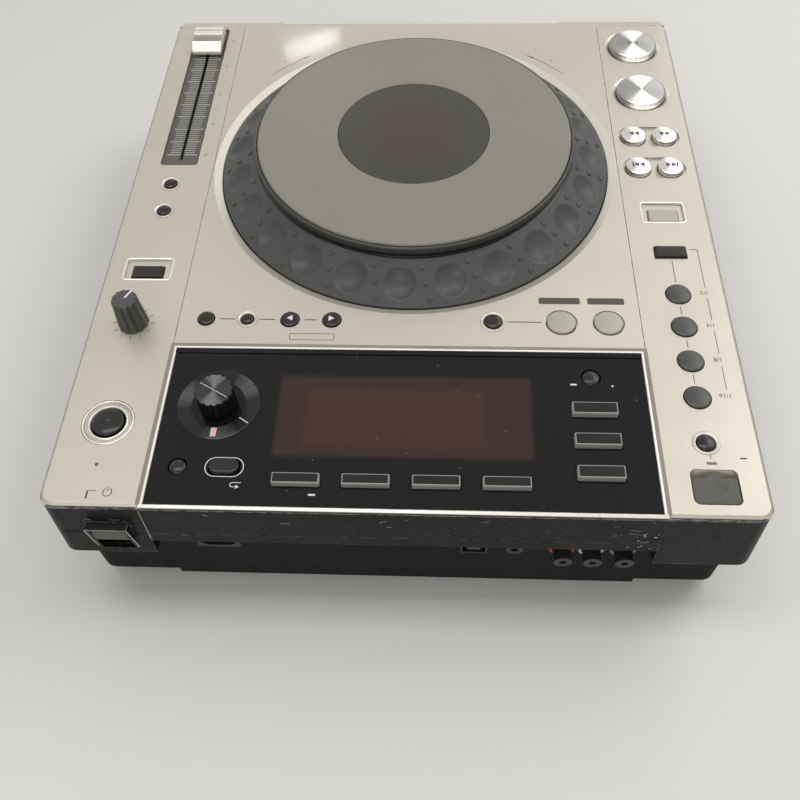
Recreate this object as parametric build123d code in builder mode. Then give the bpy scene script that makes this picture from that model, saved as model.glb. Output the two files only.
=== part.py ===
from build123d import *
import os
from math import cos, radians, sin

os.makedirs("parts", exist_ok=True)

# A tabletop player for mixing discs. Millimetres. +Z is up from the table, +Y points to the rear
# sockets and +X to the right hand of the person who plays it. The origin is under the middle.

# ---- driving dimensions: the housing ----
strip_width = 42.6  # each silver side strip, from its seam to its outer edge
seam_margin = 0.7  # from the bezel of the jog wheel to the seams between the plates
top_height = 86.0  # face of the top plates above the table
plate = 3.0  # thickness of the top plates
case_drop = 38.0  # side walls, from the face of the plates to their foot
side_lean = 0.5  # how far each side wall leans out at its foot
rear_lean = 3.2  # how far the rear wall leans out at its foot
wall = 2.5  # side and rear walls of the housing
front_wall = 5.0  # front wall, thick enough for the finger notch
ledge = 2.3  # shelf round the inside that the plates lie on
ledge_thickness = 2.5
hood_drop = 21.7  # rear hood, from the face of the plates to its lower edge
seam_gap = 0.4  # between neighbouring plates
rib = 6.0  # width of the two ribs under the seams
rib_drop = 14.4  # from the face of the plates to the ribs' lower edge
corner = 6.5  # rear corner radius in plan
clip_across = 3.3  # clipped front corners
clip_along = 8.0
notch_width = 174.6  # finger notch along the front edge
notch_depth = 2.0
edge_bevel = 1.7  # of the plates, along their outer sides and rear
rear_rim_bevel = 1.0  # of the centre plate, behind the display
front_band, front_band_step, front_fall = 6.0, 0.4, 1.2  # sloping band along the front edge

# ---- driving dimensions: chassis, feet and rear ----
chassis_clearance = 0.5
sheet = 1.5  # steel of the lower chassis
chassis_foot = 8.0
chassis_corner = 7.0
foot_radius = 13.0
foot_bevel = 1.5
foot_across = 236.0
foot_along = 268.0
recess_reach = 6.0  # the socket panel lies this far inside the rear edge of the plates
panel_sheet = 2.0
panel_cheek = 2.0
guard_reach = 5.0  # guard of the power switch, beyond the rear edge of the plates
guard_width = 18.5
guard_wall = 1.6
guard_drop = 13.0  # from the face of the plates to the top of the guard
guard_height = 20.0
guard_draft = 2.0  # the guard stands out less at its foot
power_inset = 26.5  # middle of the switch, from the side of the plates
power_height = 9.0
power_set_back = 1.0  # the button lies that far inside its guard
power_reach = 4.0  # and that far inside the rear wall
power_stem = 15.0
cooling_x, cooling_y = 108.0, 20.0
cooling_length, cooling_width, cooling_pitch, cooling_slots = 36.0, 3.4, 9.0, 8
boss_radius = 4.0
boss_front_inset, boss_rear_inset = 14.4, 49.4  # from the seams
screw_radius = 1.5
screw_fit = 0.05
screw_head = 2.8
screw_head_thickness = 1.8
screw_grip = 9.0

# ---- driving dimensions: disc slot and drive ----
slot_width = 126.0
slot_height = 6.0
slot_drop = 24.0  # from the face of the plates to the middle of the slot
slot_depth = 130.0
drive_width = 146.0
drive_depth = 176.0
drive_clearance = 0.6  # under the base of the jog wheel
drive_height = 29.4
drive_wall = 2.0
drive_bevel = 0.8
leg = 10.0

# ---- driving dimensions: jog wheel ----
jog_margin = 26.1  # from the front edge of the plates to the foot of the cone
jog_foot_radius = 103.9  # outer foot of the dimpled cone
jog_cone = 19.7  # width of the cone, seen from above
jog_shoulder = 12.0  # height of that end above the plates
jog_lip = 18.9  # black lip that the grey plate sits in
jog_lip_wall = 1.3
jog_skirt = 4.0  # below the face of the plates
jog_foot_drop = 0.8  # foot of the cone, below the face of the plates
jog_wall = 2.6
jog_plate_top = 19.6
jog_plate_thickness = 3.0
jog_press = 0.4  # travel of the plate when a hand rests on it
jog_rim_bevel = 0.6
jog_plate_gap = 0.5  # round the plate, inside the lip
window_radius = 39.9
window_thickness = 1.8
window_sill = 3.4
bezel_width = 4.2
bezel_depth = 1.8
jog_gap = 0.6
dimples = 24
dimple_phase = 12.5
dimple_width = 16.4
dimple_depth = 2.1
spindle_radius = 44.0
spindle_wall = 3.0
running_fit = 0.05
collar = 5.0
jog_base_sheet = 3.0
jog_base_wall = 1.6
display_seat = 12.0
jog_display_thickness = 3.6

# ---- driving dimensions: buttons and their switches ----
button_gap = 0.35  # round each cap, in its hole
button_travel = 1.0
flange_lip = 0.9
flange = 1.2
flange_gap = 0.1
stem = 2.4
stem_drop = 9.0
press_margin = 0.3
switch = 6.0
encoder_height = 8.0
board = 1.6
crown = 0.5
small_rise = 1.4

left_inset, right_inset = 19.6, 21.2  # middle of each column of keys, from its seam
play_row, cue_row = 28.3, 72.3
play_radius, play_rise = 13.9, 3.2
play_rim, play_rim_depth = 1.9, 1.0  # countersunk rim round the play and cue keys
search_row, track_row = 110.0, 135.2
pair_pitch = 16.9
pair_radius, pair_rise = 6.7, 2.4
pair_recess_radius = 8.3
direction_after_jog = 41.1  # behind the middle of the jog wheel
direction_width, direction_length = 15.2, 8.6
direction_recess_width, direction_recess_length, direction_recess_shift = 21.3, 13.9, 2.2
beat_select_after_jog = 67.2
beat_select_width, beat_select_length = 15.5, 7.5
beats_before_loop, beat_pitch, beats = 18.1, 19.9, 4
beat_radius = 5.9
usb_stop_before_bay, usb_stop_radius = 12.8, 4.05
loop_after_jog = 8.6  # the row of loop keys, behind the foot of the cone
loop_inset, loop_pitch, loop_radius = 15.1, 22.0, 6.7  # insets are from the nearer seam
reloop_inset, reloop_radius = 69.1, 4.2
call_inset, call_pitch, call_radius = 73.4, 20.0, 4.4
delete_inset, delete_radius = 33.0, 3.05
memory_inset, memory_radius = 13.2, 4.0
master_tempo_row, tempo_range_row, tempo_radius = 149.5, 169.8, 3.5
jog_mode_after_jog, jog_mode_width, jog_mode_length = 82.4, 15.6, 7.6
jog_mode_recess_width, jog_mode_recess_length, jog_mode_recess_shift = 23.2, 13.4, 1.5
eject_before_display, eject_radius, eject_cup_radius = 0.3, 7.5, 11.9
recess_depth = 1.2
recess_corner = 1.6
loop_recess = 0.5  # wider than the hole, round the two loop keys

# ---- driving dimensions: display ----
display_after_loop = 20.0  # from the middle of the loop keys
display_border = 1.5  # to the rear edge of the plates
display_side = 2.4  # to each seam
display_length = 79.0
display_gap = 0.2
display_sink = 0.5
glass = 2.4
key_rise = 2.8
menu_shift, menu_pitch, menu_x = 27.0, 29.5, 0.15  # shifts are from the middle of the display
menu_width, menu_length = 20.5, 5.4
source_inset, source_shift, source_pitch = 26.0, -10.4, 15.9
source_width, source_length = 20.1, 6.4
time_mode_shift, time_mode_radius = -28.3, 4.15
back_inset, side_key_shift, back_width, back_length = 33.8, 21.1, 13.0, 7.6
tag_inset, tag_radius = 13.6, 3.85
screen_width, screen_length, screen_shift, screen_gap = 112.0, 42.0, -6.0, 0.3

# ---- driving dimensions: knobs and fader ----
selector_inset, selector_shift = 26.5, -10.8
selector_radius, selector_height, selector_lobes, lobe_radius = 8.7, 10.4, 16, 1.5
selector_travel = 0.5
selector_shaft_radius = 3.0
speed_after_loop = 3.0
speed_radius, speed_height, speed_flutes, speed_draft = 7.25, 17.0, 12, 4.0
flute_depth = 1.0
knob_wall = 2.0
speed_shaft_radius = 3.0
knob_clear = 0.4  # under the skirt of the speed knob
speed_bearing = 1.0  # of solid knob over the end of its shaft
fader_inset, fader_row, fader_travel = 19.7, 24.5, 100.0
cap_width, cap_length, cap_height = 17.5, 22.0, 8.5
cap_lip, cap_front_slope, cap_front_crest = 4.7, 3.1, 2.8  # front edge: height, slope and crest
cap_hollow, cap_hollow_depth, cap_rear_crest, cap_skirt = 7.9, 2.7, 1.5, 2.1
cap_clear = 0.5
scale_width, scale_length, scale_row, scale_radius = 20.3, 125.9, 71.4, 2.0
scale_thickness, scale_sink = 1.2, 1.5
fader_slot = 1.6
lever_width, lever_length = 0.8, 6.0
fader_channel_width, fader_channel_wall, fader_drop = 18.0, 1.2, 19.0
rod_radius, rod_pitch, rod_drop = 1.25, 9.0, 13.0
rod_fit = 0.08
carriage_length, carriage_height, carriage_width = 13.0, 6.0, 14.0

# ---- driving dimensions: memory-stick bay ----
bay_inset, bay_width = 20.45, 19.9
bay_length, bay_border = 16.6, 6.1
bay_wall, bay_drop, bay_room, bay_corner = 1.3, 11.5, 0.6, 2.8
finger_length, finger_drop, finger_step, finger_flat = 3.4, 3.6, 0.5, 1.0
lid_thickness, lid_gap = 2.0, 0.35
lid_sink = 0.2
lobe_chord, lobe_reach = 11.0, 1.9  # finger lobe on the free edge of the lid
scoop_radius, scoop_depth = 5.4, 0.8
lid_bevel = 0.4
hinge_radius, hinge_depth, hinge_pin, hinge_reach = 1.1, 1.3, 0.7, 1.6
stick_socket_width, stick_socket_length, stick_socket_wall, stick_socket_drop = 13.6, 6.2, 0.5, 8.0
tongue_width, tongue_thickness, tongue_shift = 11.0, 1.8, 1.2

# ---- driving dimensions: rear sockets ----
phono_radius, phono_reach, phono_bore = 4.15, 7.0, 1.6
phono_base_radius, socket_gap = 6.0, 1.0
socket_height = 46.0  # middle of every rear socket, above the table
digital_inset, phono_left_inset, phono_right_inset = 11.4, 25.4, 38.4  # from the seam at their side
control_inset, control_radius, control_bore, control_reach = 59.4, 4.0, 1.8, 1.5
square_inset, square_width, square_height, square_wall = 77.4, 12.0, 11.0, 0.8
square_tongue_width, square_tongue_height = 6.0, 3.7
inlet_inset, inlet_width, inlet_height, inlet_depth = 25.4, 20.0, 13.0, 12.0
inlet_corner, inlet_wall, inlet_pin, inlet_pin_pitch = 2.0, 1.75, 1.2, 8.6
socket_body = 12.0

# ---- driving dimensions: boards ----
board_margin = 7.5  # of board beyond the outermost switch
side_board_inset, side_board_gap = 11.0, 0.2  # from the side of the plates, and from the seam
main_board_width, main_board_length, main_board_foot = 190.0, 120.0, 17.5
main_board_x, main_board_y = -30.0, 80.0
post_radius, post_across, post_along = 3.0, 170.0, 60.0
chip_size, chip_height = 34.0, 4.0
driver_width, driver_length, driver_x, driver_y = 24.0, 18.0, -50.0, -20.0
jack_width, jack_length, jack_x, jack_y = 20.0, 28.0, 50.0, -24.0
supply_x, supply_width, supply_length, supply_base, supply_height = 105.0, 60.0, 110.0, 3.0, 26.0
transformer_width, transformer_length, transformer_x, transformer_y = 36.0, 34.0, -8.0, -20.0
capacitor_radius, capacitor_x, capacitor_y = 11.0, 8.0, 30.0

# ---- places worked out from them; each row is a distance behind the front edge ----
seam = jog_foot_radius + jog_gap + bezel_width + seam_margin
half_top = seam + strip_width
jog_row = jog_margin + jog_foot_radius
loop_row = jog_row + jog_foot_radius + loop_after_jog
display_row = loop_row + display_after_loop + display_length / 2
display_width = 2 * (seam - display_side)
top_depth = display_row + display_length / 2 + display_border
front = -(top_depth + guard_reach) / 2
rear = front + top_depth
bay_rear = top_depth - bay_border
bay_front = bay_rear - bay_length
left_x, right_x = -seam - left_inset, seam + right_inset
fader_x, bay_x = seam + fader_inset, -seam - bay_inset
power_x = half_top - power_inset
direction_row = jog_row + direction_after_jog
direction_recess_row = direction_row - direction_recess_shift
beat_select_row = jog_row + beat_select_after_jog
beat_row = loop_row - beats_before_loop
usb_stop_row = bay_front - usb_stop_before_bay
jog_mode_row = jog_row + jog_mode_after_jog
jog_mode_recess_row = jog_mode_row - jog_mode_recess_shift
speed_row = loop_row + speed_after_loop
eject_row = display_row - eject_before_display
menu_row, side_key_row = display_row + menu_shift, display_row + side_key_shift
source_row, time_mode_row = display_row + source_shift, display_row + time_mode_shift
selector_row, screen_row = display_row + selector_shift, display_row + screen_shift
selector_x, back_x, tag_x = seam - selector_inset, seam - back_inset, seam - tag_inset
source_x = -seam + source_inset
jog_shoulder_radius = jog_foot_radius - jog_cone
jog_plate_radius = jog_shoulder_radius - jog_lip_wall - jog_plate_gap
jog_deck = jog_plate_top - jog_plate_thickness - jog_press - flange_gap
seat = top_height - plate
case_foot = top_height - case_drop
hood_foot = top_height - hood_drop
case_rear_foot = rear + rear_lean
chassis_half = half_top - wall - chassis_clearance
chassis_top = seat - ledge_thickness
chassis_front = front + front_wall + chassis_clearance
chassis_rear = rear - recess_reach
floor_top = chassis_foot + sheet
rib_foot = top_height - rib_drop
stem_foot = top_height - stem_drop
slot_centre = top_height - slot_drop
wheel_foot = top_height - jog_base_sheet - collar
base_top = wheel_foot - collar
drive_roof = base_top - jog_base_sheet - drive_clearance
drive_floor = drive_roof - drive_height
fader_floor, rod_height = top_height - fader_drop, top_height - rod_drop
bay_floor, finger_shelf = top_height - bay_drop, top_height - finger_drop
stick_socket_mouth = top_height - stick_socket_drop
switch_top = stem_foot - button_travel - press_margin
board_top = rib_foot
selector_pivot = top_height + selector_travel + flange_gap


def row(distance):
    """The place along Y of something that far behind the front edge of the plates."""
    return front + distance


jog_y = row(jog_row)
display_y = row(display_row)
bay_y = row((bay_front + bay_rear) / 2)
bay_outer = bay_rear - bay_front + 2 * bay_wall
bay_deep = 2 * (seat - bay_floor + bay_room)


def at(x, y, z):
    """A level plane at that point."""
    return Plane(origin=(x, y, z))


def save(part, name):
    """Labels a finished piece and writes it."""
    part.label = name
    export_step(part, f"parts/{name}.step")


def draw_plan(half_width, front_y, rear_y, radius):
    """Draws the outline seen from above: notch, clipped front corners, round rear corners."""
    notch_end = notch_width / 2
    Polyline(
        (0, front_y + notch_depth),
        (notch_end - notch_depth, front_y + notch_depth),
        (notch_end, front_y),
        (half_width - clip_across, front_y),
        (half_width, front_y + clip_along),
        (half_width, rear_y - radius),
    )
    JernArc((half_width, rear_y - radius), (0, 1), radius, 90)
    Line((half_width - radius, rear_y), (0, rear_y))
    mirror(about=Plane.YZ)


# =====================================================================
# Housing: leaning walls, a ledge for the plates, two ribs, the hood and the switch guard
# =====================================================================
with BuildPart() as upper_case:
    with BuildSketch(Plane.XY.offset(case_foot)):
        with BuildLine():
            draw_plan(half_top + side_lean, front, case_rear_foot, corner)
        make_face()
    with BuildSketch(Plane.XY.offset(seat)):
        with BuildLine():
            draw_plan(half_top, front, rear, corner)
        make_face()
    loft(ruled=True)
    # the hollow, with the same lean as the outside
    with BuildSketch(Plane.XY.offset(case_foot)):
        with Locations((0, (front + front_wall + case_rear_foot - wall) / 2)):
            RectangleRounded(
                2 * (half_top + side_lean - wall),
                case_rear_foot - wall - front - front_wall,
                corner - wall,
            )
    with BuildSketch(Plane.XY.offset(chassis_top)):
        with Locations((0, (front + front_wall + rear - wall) / 2)):
            RectangleRounded(2 * (half_top - wall), rear - wall - front - front_wall, corner - wall)
    loft(ruled=True, mode=Mode.SUBTRACT)
    # the opening inside the ledge, which reaches over the walls of the chassis
    opening_front = chassis_front + sheet + ledge
    opening_rear = chassis_rear - sheet - press_margin
    with BuildSketch(Plane.XY.offset(chassis_top)):
        with Locations((0, (opening_front + opening_rear) / 2)):
            RectangleRounded(2 * (half_top - wall - ledge), opening_rear - opening_front, corner - wall)
    extrude(amount=ledge_thickness, mode=Mode.SUBTRACT)
    with BuildSketch(Plane.XY.offset(chassis_top)):
        for side in (-1, 1):
            with Locations((side * (seam + half_top - wall - ledge) / 2, (front + rear) / 2)):
                Rectangle(
                    half_top - wall - ledge - seam,
                    top_depth - 2 * (front_wall + ledge),
                )
    extrude(amount=ledge_thickness, mode=Mode.SUBTRACT)
    # two ribs under the seams between the plates
    with BuildSketch(Plane.XY.offset(rib_foot)):
        for side in (-1, 1):
            with Locations((side * seam, (chassis_front + chassis_rear) / 2)):
                Rectangle(rib, chassis_rear - chassis_front - 4 * sheet)
    extrude(amount=seat - rib_foot)
    with BuildSketch(Plane.XY.offset(chassis_top)):
        for side in (-1, 1):
            with Locations((side * seam, (front + rear) / 2)):
                Rectangle(rib, top_depth - 2 * wall)
    extrude(amount=ledge_thickness)
    # the rear wall stops at the hood between the two side blocks
    with BuildSketch(Plane.XY.offset(case_foot)):
        with Locations((0, rear)):
            Rectangle(2 * seam, 2 * (recess_reach + rear_lean))
    extrude(amount=hood_foot - case_foot, mode=Mode.SUBTRACT)
    lintel = rear + rear_lean * hood_drop / case_drop - chassis_rear - panel_sheet - chassis_clearance
    with BuildSketch(Plane.XY.offset(hood_foot)):
        with Locations((0, rear + rear_lean * hood_drop / case_drop - lintel / 2 - wall / 2)):
            Rectangle(2 * seam, lintel - wall)
    extrude(amount=wall)
    # cheeks and floors of the side blocks
    cheek_length = rear + rear_lean / 2 - chassis_rear - chassis_clearance
    with BuildSketch(Plane.XY.offset(case_foot)):
        for side in (-1, 1):
            with Locations((side * (seam + panel_cheek / 2), rear + rear_lean / 2 - cheek_length / 2)):
                Rectangle(panel_cheek, cheek_length)
    extrude(amount=hood_foot + wall - case_foot)
    with BuildSketch(Plane.XY.offset(case_foot)):
        for side in (-1, 1):
            with Locations(
                (side * (seam + half_top - wall) / 2, rear + rear_lean / 2 - cheek_length / 2)
            ):
                Rectangle(half_top - wall - seam, cheek_length)
    extrude(amount=wall)
    # screw bosses, hanging from the ledge down to the chassis floor
    boss_front_y = chassis_front + sheet + boss_radius
    boss_rear_y = chassis_rear - sheet - boss_radius
    boss_points = [
        (side * x, y)
        for side in (-1, 1)
        for x, y in ((seam - boss_front_inset, boss_front_y), (seam - boss_rear_inset, boss_rear_y))
    ]
    with BuildSketch(Plane.XY.offset(floor_top)):
        with Locations(*boss_points):
            Circle(boss_radius)
    extrude(amount=seat - floor_top)
    with BuildSketch(Plane.XY.offset(floor_top)):
        with Locations(*boss_points):
            Circle(screw_radius + screw_fit)
    extrude(amount=2 * screw_grip, mode=Mode.SUBTRACT)
    # room for the memory-stick bay that hangs from the left strip
    with Locations(at(bay_x, bay_y, seat)):
        Box(bay_width + 2 * bay_wall + bay_room, bay_outer + bay_room, bay_deep, mode=Mode.SUBTRACT)
    # the guard round the power switch: a roof and two cheeks whose edges fall back
    guard_top = top_height - guard_drop
    guard_foot = guard_top - guard_height
    guard_edge = rear + guard_reach
    with BuildSketch(Plane.YZ.offset(power_x - guard_width / 2)):
        with BuildLine():
            Polyline(
                (rear - wall / 2, guard_top),
                (guard_edge, guard_top),
                (guard_edge - guard_draft, guard_foot),
                (rear - wall / 2, guard_foot),
                close=True,
            )
        make_face()
    extrude(amount=guard_width)
    mouth_width = guard_width - 2 * guard_wall
    with BuildSketch(Plane.XZ.offset(-rear + 4 * wall)):
        with Locations((power_x, (guard_top + guard_foot) / 2 - guard_wall)):
            Rectangle(mouth_width, guard_height)
    extrude(amount=-8 * wall, mode=Mode.SUBTRACT)
    # the disc slot through the front wall
    with BuildSketch(Plane.XZ.offset(-front)):
        with Locations((0, slot_centre)):
            SlotOverall(slot_width, slot_height)
    extrude(amount=-2 * front_wall, both=True, mode=Mode.SUBTRACT)

save(upper_case.part, "upper_case")

# =====================================================================
# Lower chassis: a folded steel pan, open at the top, that carries the drive and the boards
# =====================================================================
chassis_middle = (chassis_front + chassis_rear) / 2
chassis_length = chassis_rear - chassis_front
with BuildPart() as lower_chassis:
    with BuildSketch(Plane.XY.offset(chassis_foot)):
        with Locations((0, chassis_middle)):
            RectangleRounded(2 * chassis_half, chassis_length, chassis_corner)
    extrude(amount=chassis_top - chassis_foot)
    with BuildSketch(Plane.XY.offset(floor_top)):
        with Locations((0, chassis_middle)):
            RectangleRounded(
                2 * (chassis_half - sheet), chassis_length - 2 * sheet, chassis_corner - sheet
            )
    extrude(amount=chassis_top - floor_top, mode=Mode.SUBTRACT)
    chamfer(lower_chassis.faces().sort_by(Axis.Z)[0].outer_wire().edges(), sheet / 2)
    # the ribs of the housing pass down into the front and rear walls here
    with BuildSketch(Plane.XY.offset(rib_foot - running_fit)):
        for side in (-1, 1):
            with Locations((side * seam, chassis_middle)):
                Rectangle(rib + 2 * jog_gap, 2 * chassis_length)
    extrude(amount=chassis_top - rib_foot + sheet, mode=Mode.SUBTRACT)
    # screw holes under the bosses
    with BuildSketch(Plane.XY.offset(chassis_foot)):
        with Locations(*boss_points):
            Circle(screw_radius + screw_fit)
    extrude(amount=sheet, mode=Mode.SUBTRACT)
    # disc slot, the cut-out behind the sockets and the one round the power switch
    with BuildSketch(Plane.XZ.offset(-chassis_front)):
        with Locations((0, slot_centre)):
            SlotOverall(slot_width, slot_height)
    extrude(amount=-2 * sheet, mode=Mode.SUBTRACT)
    with BuildSketch(Plane.XZ.offset(-chassis_rear)):
        with Locations((0, socket_height - sheet)):
            Rectangle(2 * seam - 2 * boss_radius, 2 * phono_base_radius + socket_body)
        with Locations((power_x, (guard_top + guard_foot) / 2)):
            Rectangle(guard_width + wall, guard_height + wall)
    extrude(amount=2 * sheet, mode=Mode.SUBTRACT)
    # the memory-stick bay passes through the rear wall here
    with Locations(at(bay_x, bay_y, seat)):
        Box(bay_width + 2 * bay_wall + bay_room, bay_outer + bay_room, bay_deep, mode=Mode.SUBTRACT)
    # cooling slots in the floor
    with BuildSketch(Plane.XY.offset(chassis_foot)):
        for side in (-1, 1):
            with Locations((side * cooling_x, cooling_y)):
                with GridLocations(0, cooling_pitch, 1, cooling_slots):
                    Rectangle(cooling_length, cooling_width)
    extrude(amount=sheet, mode=Mode.SUBTRACT)
save(lower_chassis.part, "lower_chassis")

foot_points = [
    (i * foot_across / 2, chassis_middle + j * foot_along / 2) for i in (-1, 1) for j in (-1, 1)
]
with BuildPart() as feet:
    with BuildSketch():
        with Locations(*foot_points):
            Circle(foot_radius)
    extrude(amount=chassis_foot)
    chamfer(feet.edges().filter_by(GeomType.CIRCLE).group_by(Axis.Z)[0], foot_bevel)
save(feet.part, "feet")

with BuildPart() as screws:
    with BuildSketch(Plane.XY.offset(chassis_foot - screw_head_thickness)):
        with Locations(*boss_points):
            Circle(screw_head)
    extrude(amount=screw_head_thickness)
    with BuildSketch(Plane.XY.offset(chassis_foot)):
        with Locations(*boss_points):
            Circle(screw_radius)
    extrude(amount=screw_grip)
save(screws.part, "screws")

# =====================================================================
# Rear panel and its sockets
# =====================================================================
phono_places = [-seam + inset for inset in (digital_inset, phono_left_inset, phono_right_inset)]
control_x, square_x, inlet_x = -seam + control_inset, -seam + square_inset, seam - inlet_inset
with BuildPart() as rear_panel:
    with BuildSketch(Plane.XZ.offset(-chassis_rear)):
        with Locations((0, (floor_top + hood_foot) / 2)):
            Rectangle(2 * seam - 2 * chassis_clearance, hood_foot - floor_top - 2 * running_fit)
    extrude(amount=-panel_sheet)
    with BuildSketch(Plane.XZ.offset(-chassis_rear)):
        with Locations(*((x, socket_height) for x in phono_places)):
            Circle(phono_base_radius + running_fit)
        with Locations((control_x, socket_height)):
            Circle(control_radius + running_fit)
        with Locations((square_x, socket_height)):
            Rectangle(square_width + running_fit, square_height + running_fit)
        with Locations((inlet_x, socket_height)):
            RectangleRounded(inlet_width + running_fit, inlet_height + running_fit, inlet_corner)
    extrude(amount=-panel_sheet, mode=Mode.SUBTRACT)
save(rear_panel.part, "rear_panel")

panel_face = chassis_rear + panel_sheet
bay_floor_top = bay_floor + bay_wall
with BuildPart() as sockets:
    # phono sockets: block, round insulating base in the panel, and ground barrel
    phono_points = [(x, socket_height) for x in phono_places]
    with BuildSketch(Plane.XZ.offset(-chassis_rear + socket_body)):
        with Locations(*phono_points):
            Rectangle(2 * phono_base_radius - socket_gap, 2 * phono_base_radius)
    extrude(amount=-socket_body)
    with BuildSketch(Plane.XZ.offset(-chassis_rear)):
        with Locations(*phono_points):
            Circle(phono_base_radius)
    extrude(amount=-panel_sheet)
    with BuildSketch(Plane.XZ.offset(-panel_face)):
        with Locations(*phono_points):
            Circle(phono_radius)
            Circle(phono_bore, mode=Mode.SUBTRACT)
    extrude(amount=-phono_reach)
    # the round control socket
    with BuildSketch(Plane.XZ.offset(-chassis_rear + socket_body)):
        with Locations((control_x, socket_height)):
            Rectangle(2 * control_radius + socket_gap, 2 * control_radius + socket_gap)
    extrude(amount=-socket_body)
    with BuildSketch(Plane.XZ.offset(-chassis_rear)):
        with Locations((control_x, socket_height)):
            Circle(control_radius)
            Circle(control_bore, mode=Mode.SUBTRACT)
    extrude(amount=-panel_sheet - control_reach)
    # the square data socket with its tongue
    with BuildSketch(Plane.XZ.offset(-chassis_rear + socket_body)):
        with Locations((square_x, socket_height)):
            Rectangle(square_width, square_height)
    extrude(amount=-socket_body - panel_sheet - square_wall)
    with BuildSketch(Plane.XZ.offset(-panel_face - square_wall)):
        with Locations((square_x, socket_height)):
            Rectangle(square_width - 2 * square_wall, square_height - 2 * square_wall)
            Rectangle(square_tongue_width, square_tongue_height, mode=Mode.SUBTRACT)
    extrude(amount=socket_body / 2 + panel_sheet, mode=Mode.SUBTRACT)
    # the mains inlet with two pins
    with BuildSketch(Plane.XZ.offset(-chassis_rear + inlet_depth + sheet)):
        with Locations((inlet_x, socket_height)):
            RectangleRounded(inlet_width, inlet_height, inlet_corner)
    extrude(amount=-inlet_depth - sheet - panel_sheet)
    with BuildSketch(Plane.XZ.offset(-panel_face)):
        with Locations((inlet_x, socket_height)):
            SlotOverall(inlet_width - 2 * inlet_wall, inlet_height - 2 * inlet_wall)
            with GridLocations(inlet_pin_pitch, 0, 2, 1):
                Circle(inlet_pin, mode=Mode.SUBTRACT)
    extrude(amount=inlet_depth, mode=Mode.SUBTRACT)
    # the upright socket for a memory stick, under its lid
    with BuildSketch(Plane.XY.offset(bay_floor - socket_body)):
        with Locations((bay_x, bay_y + finger_length / 2)):
            Rectangle(stick_socket_width, stick_socket_length)
    extrude(amount=stick_socket_mouth - bay_floor + socket_body)
    with BuildSketch(Plane.XY.offset(bay_floor - socket_body / 2)):
        with Locations((bay_x, bay_y + finger_length / 2)):
            Rectangle(
                stick_socket_width - 2 * stick_socket_wall, stick_socket_length - 2 * stick_socket_wall
            )
        with Locations((bay_x, bay_y + finger_length / 2 + tongue_shift)):
            Rectangle(tongue_width, tongue_thickness, mode=Mode.SUBTRACT)
    extrude(amount=stick_socket_mouth - bay_floor + socket_body / 2, mode=Mode.SUBTRACT)
save(sockets.part, "sockets")

# =====================================================================
# The three silver plates
# =====================================================================
round_keys = {
    "play_button": (left_x, play_row, play_radius),
    "cue_button": (left_x, cue_row, play_radius),
    "search_back_button": (left_x - pair_pitch / 2, search_row, pair_radius),
    "search_forward_button": (left_x + pair_pitch / 2, search_row, pair_radius),
    "track_back_button": (left_x - pair_pitch / 2, track_row, pair_radius),
    "track_forward_button": (left_x + pair_pitch / 2, track_row, pair_radius),
    "usb_stop_button": (left_x, usb_stop_row, usb_stop_radius),
    "loop_in_button": (-seam + loop_inset, loop_row, loop_radius),
    "loop_out_button": (-seam + loop_inset + loop_pitch, loop_row, loop_radius),
    "reloop_button": (-seam + reloop_inset, loop_row, reloop_radius),
    "call_back_button": (seam - call_inset, loop_row, call_radius),
    "call_forward_button": (seam - call_inset + call_pitch, loop_row, call_radius),
    "delete_button": (seam - delete_inset, loop_row, delete_radius),
    "memory_button": (seam - memory_inset, loop_row, memory_radius),
    "master_tempo_button": (right_x, master_tempo_row, tempo_radius),
    "tempo_range_button": (right_x, tempo_range_row, tempo_radius),
    "eject_button": (right_x, eject_row, eject_radius),
    "time_mode_button": (source_x, time_mode_row, time_mode_radius),
    "tag_track_button": (tag_x, side_key_row, tag_radius),
}
for number in range(beats):
    round_keys[f"beat_loop_{number + 1}_button"] = (left_x, beat_row + number * beat_pitch, beat_radius)

# name: place across, place along, width, length
square_keys = {
    "direction_button": (left_x, direction_row, direction_width, direction_length),
    "beat_select_button": (left_x, beat_select_row, beat_select_width, beat_select_length),
    "jog_mode_button": (right_x, jog_mode_row, jog_mode_width, jog_mode_length),
    "back_button": (back_x, side_key_row, back_width, back_length),
}
for place, name in enumerate(("browse_button", "tag_list_button", "info_button", "menu_button")):
    square_keys[name] = (menu_x + (place - 1.5) * menu_pitch, menu_row, menu_width, menu_length)
for place, name in enumerate(("source_disc_button", "source_usb_button", "source_pc_button")):
    square_keys[name] = (source_x, source_row + place * source_pitch, source_width, source_length)

display_names = ("time_mode_button", "tag_track_button", "back_button", "browse_button")
display_names += ("tag_list_button", "info_button", "menu_button")
display_names += ("source_disc_button", "source_usb_button", "source_pc_button")
left_names = ("play_button", "cue_button", "search_back_button", "search_forward_button")
left_names += ("track_back_button", "track_forward_button", "direction_button", "beat_select_button")
left_names += tuple(f"beat_loop_{number + 1}_button" for number in range(beats)) + ("usb_stop_button",)
right_names = ("master_tempo_button", "tempo_range_button", "jog_mode_button", "eject_button")
centre_names = ("loop_in_button", "loop_out_button", "reloop_button", "call_back_button")
centre_names += ("call_forward_button", "delete_button", "memory_button")


def draw_key_holes(names):
    """Draws the holes of those keys, a gap wider than their caps, in the open sketch."""
    for name in names:
        if name in round_keys:
            x, distance, radius = round_keys[name]
            with Locations((x, row(distance))):
                Circle(radius + button_gap)
        else:
            x, distance, width, length = square_keys[name]
            with Locations((x, row(distance))):
                Rectangle(width + 2 * button_gap, length + 2 * button_gap)


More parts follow.
